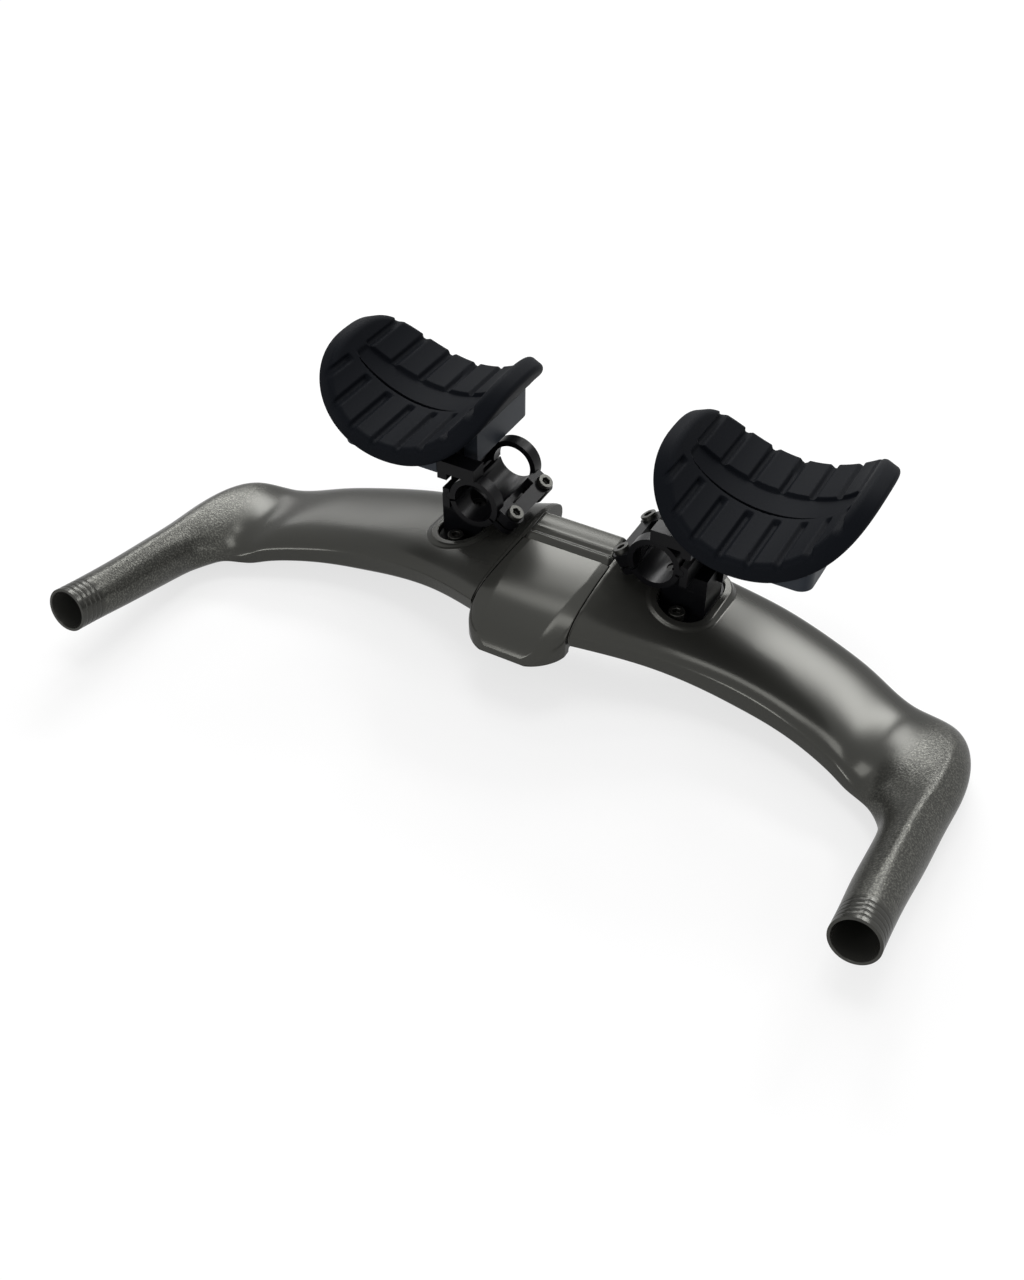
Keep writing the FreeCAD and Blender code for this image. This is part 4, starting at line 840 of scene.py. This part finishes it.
# %% Arm pads
PAD_CENTRE, DISH_RADIUS, PAD_THICK = np.array((96.2, 6.0, 106.2)), 47.0, 11.0
PAD_HALF_TURN, PAD_HALF_LENGTH, PAD_POWER = math.radians(72.5), 48.5, 2.5
PAD_AROUND, PAD_RINGS, PAD_BOW, PAD_BELOW = 620, 105, 12, 8
TOP_ROUND, LOW_ROUND, RELIEF_END, RELIEF_FADE = 3.4, 3.0, 0.62, 0.35
FRONT_PITCH, REAR_PITCH, GROOVE_HALF, GROOVE_DEPTH, GROOVE_SLOPE = 14.0, 16.0, 0.5, 2.1, 2.2
GROOVE_START, GROOVE_RUN, REAR_RUN = 4.0, 3.0, 2.0
VALLEY_FRONT, VALLEY_REAR, VALLEY_DEPTH, VALLEY_SLOPE = -4.5, 15.5, 1.8, 1.6
FRONT_BOW, REAR_BOW, VALLEY_REACH, VALLEY_END = 0.0022, 0.0055, 46.0, 4.0
CRESCENT_DEPTH, CRESCENT_HALF, CRESCENT_SLOPE, CRESCENT_LEAST = 3.8, 1.5, 0.6, 0.2


def hollow(distance, half, slope):
    """One inside the half width, zero a slope's length beyond it, and a smooth step between."""
    return 1 - smooth_step((np.abs(distance) - half) / slope)


def pad_relief(s, t):
    """Depth of the pattern at a point of the flat slab: the deepest of the valley, the crescent and a groove.

    The valley lies between two parabolas, a crescent follows the front one, and the grooves lie beyond.
    """
    front, rear = VALLEY_FRONT - FRONT_BOW * s**2, VALLEY_REAR - REAR_BOW * s**2
    in_front = t < (front + rear) / 2
    pitch, shift = np.where(in_front, FRONT_PITCH, REAR_PITCH), np.where(in_front, 0.5, 0.0)
    nearest = np.round(s / pitch - shift) + shift
    line = hollow(s - nearest * pitch, GROOVE_HALF, GROOVE_SLOPE)
    front_row = smooth_step((front - GROOVE_START - t) / GROOVE_RUN)
    rear_row = smooth_step((t - rear + REAR_RUN) / REAR_RUN)
    groove = GROOVE_DEPTH * line * np.maximum(front_row, rear_row)
    valley = smooth_step((t - front) / VALLEY_SLOPE) * smooth_step((rear - t) / VALLEY_SLOPE)
    valley = VALLEY_DEPTH * (valley * hollow(s, VALLEY_REACH, VALLEY_END))
    half_crescent = CRESCENT_HALF * np.sqrt(np.maximum(1 - (s / VALLEY_REACH) ** 2, 0)) + 1e-6
    crescent = hollow(t - front, half_crescent, CRESCENT_SLOPE) * (half_crescent > CRESCENT_LEAST)
    return np.maximum(np.maximum(groove, valley), CRESCENT_DEPTH * crescent)


def pad_grid():
    """Rings of the slab: superellipse outline, inset and depth from a rounded edge profile, then bent.

    Bending turns a point by its distance from the middle over the dish's radius and keeps its depth.
    """
    angle = np.linspace(0, 2 * np.pi, PAD_AROUND, endpoint=False)
    power = 2 / PAD_POWER
    wide = np.sign(np.cos(angle)) * np.abs(np.cos(angle)) ** power * DISH_RADIUS * PAD_HALF_TURN
    long = np.sign(np.sin(angle)) * np.abs(np.sin(angle)) ** power * PAD_HALF_LENGTH
    radius = np.hypot(wide, long)
    share = np.linspace(0, 1, PAD_RINGS)[:, None]
    bow = np.linspace(0, np.pi / 2, PAD_BOW)[1:, None]
    inset = np.concatenate([
        radius - share * (radius - TOP_ROUND),
        TOP_ROUND * (1 - np.sin(bow)) + 0 * radius,
        LOW_ROUND * (1 - np.cos(bow)) + 0 * radius,
        radius - (1 - np.linspace(0, 1, PAD_BELOW)[1:, None]) * (radius - LOW_ROUND),
    ])
    depth = np.concatenate([
        0 * share,
        TOP_ROUND * (1 - np.cos(bow)),
        PAD_THICK - LOW_ROUND * (1 - np.sin(bow)),
        np.full((PAD_BELOW - 1, 1), PAD_THICK),
    ])
    s, t = wide * (1 - inset / radius), long * (1 - inset / radius)
    relief = pad_relief(s, t) * smooth_step((PAD_THICK * RELIEF_END - depth) / (PAD_THICK * RELIEF_FADE))
    turn = s / DISH_RADIUS
    reach = DISH_RADIUS + depth + relief
    return PAD_CENTRE + np.stack([reach * np.sin(turn), t, -reach * np.cos(turn)], axis=2)


pad = pad_grid()
pad_cells = grid_faces(*pad.shape[:2])
for name, side in SIDES.items():
    obj = surface(f"{name}_foam_pad", pad * np.array((side, 1, 1)), pad_cells, "pad_foam", side < 0)
    stand_for(obj, f"{name}_arm_pad")
print("pad grid of", pad.shape[:2], "points")

# %% [markdown]
# ## Machined pieces
# The clamps, feet, brackets and screws are milled or turned, and every edge of such a piece is broken. The
# packed triangles are joined again, flat ones are dissolved into whole faces, and a small bevel catches the
# light. The moulded cups get the same, and the thin fastener sheets under the pads are only joined.

# %% Machined pieces with eased edges
EASE, FLAT, SHARP = 0.3 * MM, 0.5, 32
MADE_ANEW = ("base_bar", "nose_cover", "arm_pad")


def dressed(node, ease):
    """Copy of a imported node: corners joined, flat triangles dissolved, edges beveled by the ease."""
    work = bmesh.new()
    work.from_mesh(frame["nodes"][node].data)
    bmesh.ops.remove_doubles(work, verts=work.verts, dist=JOIN)
    if ease:
        bmesh.ops.dissolve_limit(work, angle_limit=math.radians(FLAT), verts=work.verts, edges=work.edges)
    mesh = bpy.data.meshes.new(f"{node}_dressed")
    work.to_mesh(mesh)
    work.free()
    coat(mesh, FINISHES[slots[node]], SHARP)
    obj = new_object(f"{node}_dressed", mesh)
    if ease:
        bevel = obj.modifiers.new("eased edges", "BEVEL")
        bevel.width, bevel.segments = ease, 2
        bevel.limit_method, bevel.angle_limit = "ANGLE", math.radians(SHARP)
        bevel.harden_normals = True
    stand_for(obj, node)
    return obj


small_pieces = []
for node in frame["nodes"]:
    kind = node.replace("left_", "").replace("right_", "")
    if kind not in MADE_ANEW:
        small_pieces.append(dressed(node, 0.0 if kind == "pad_fastener" else EASE))
print(len(small_pieces), "small pieces with edges eased by", EASE / MM, "mm")
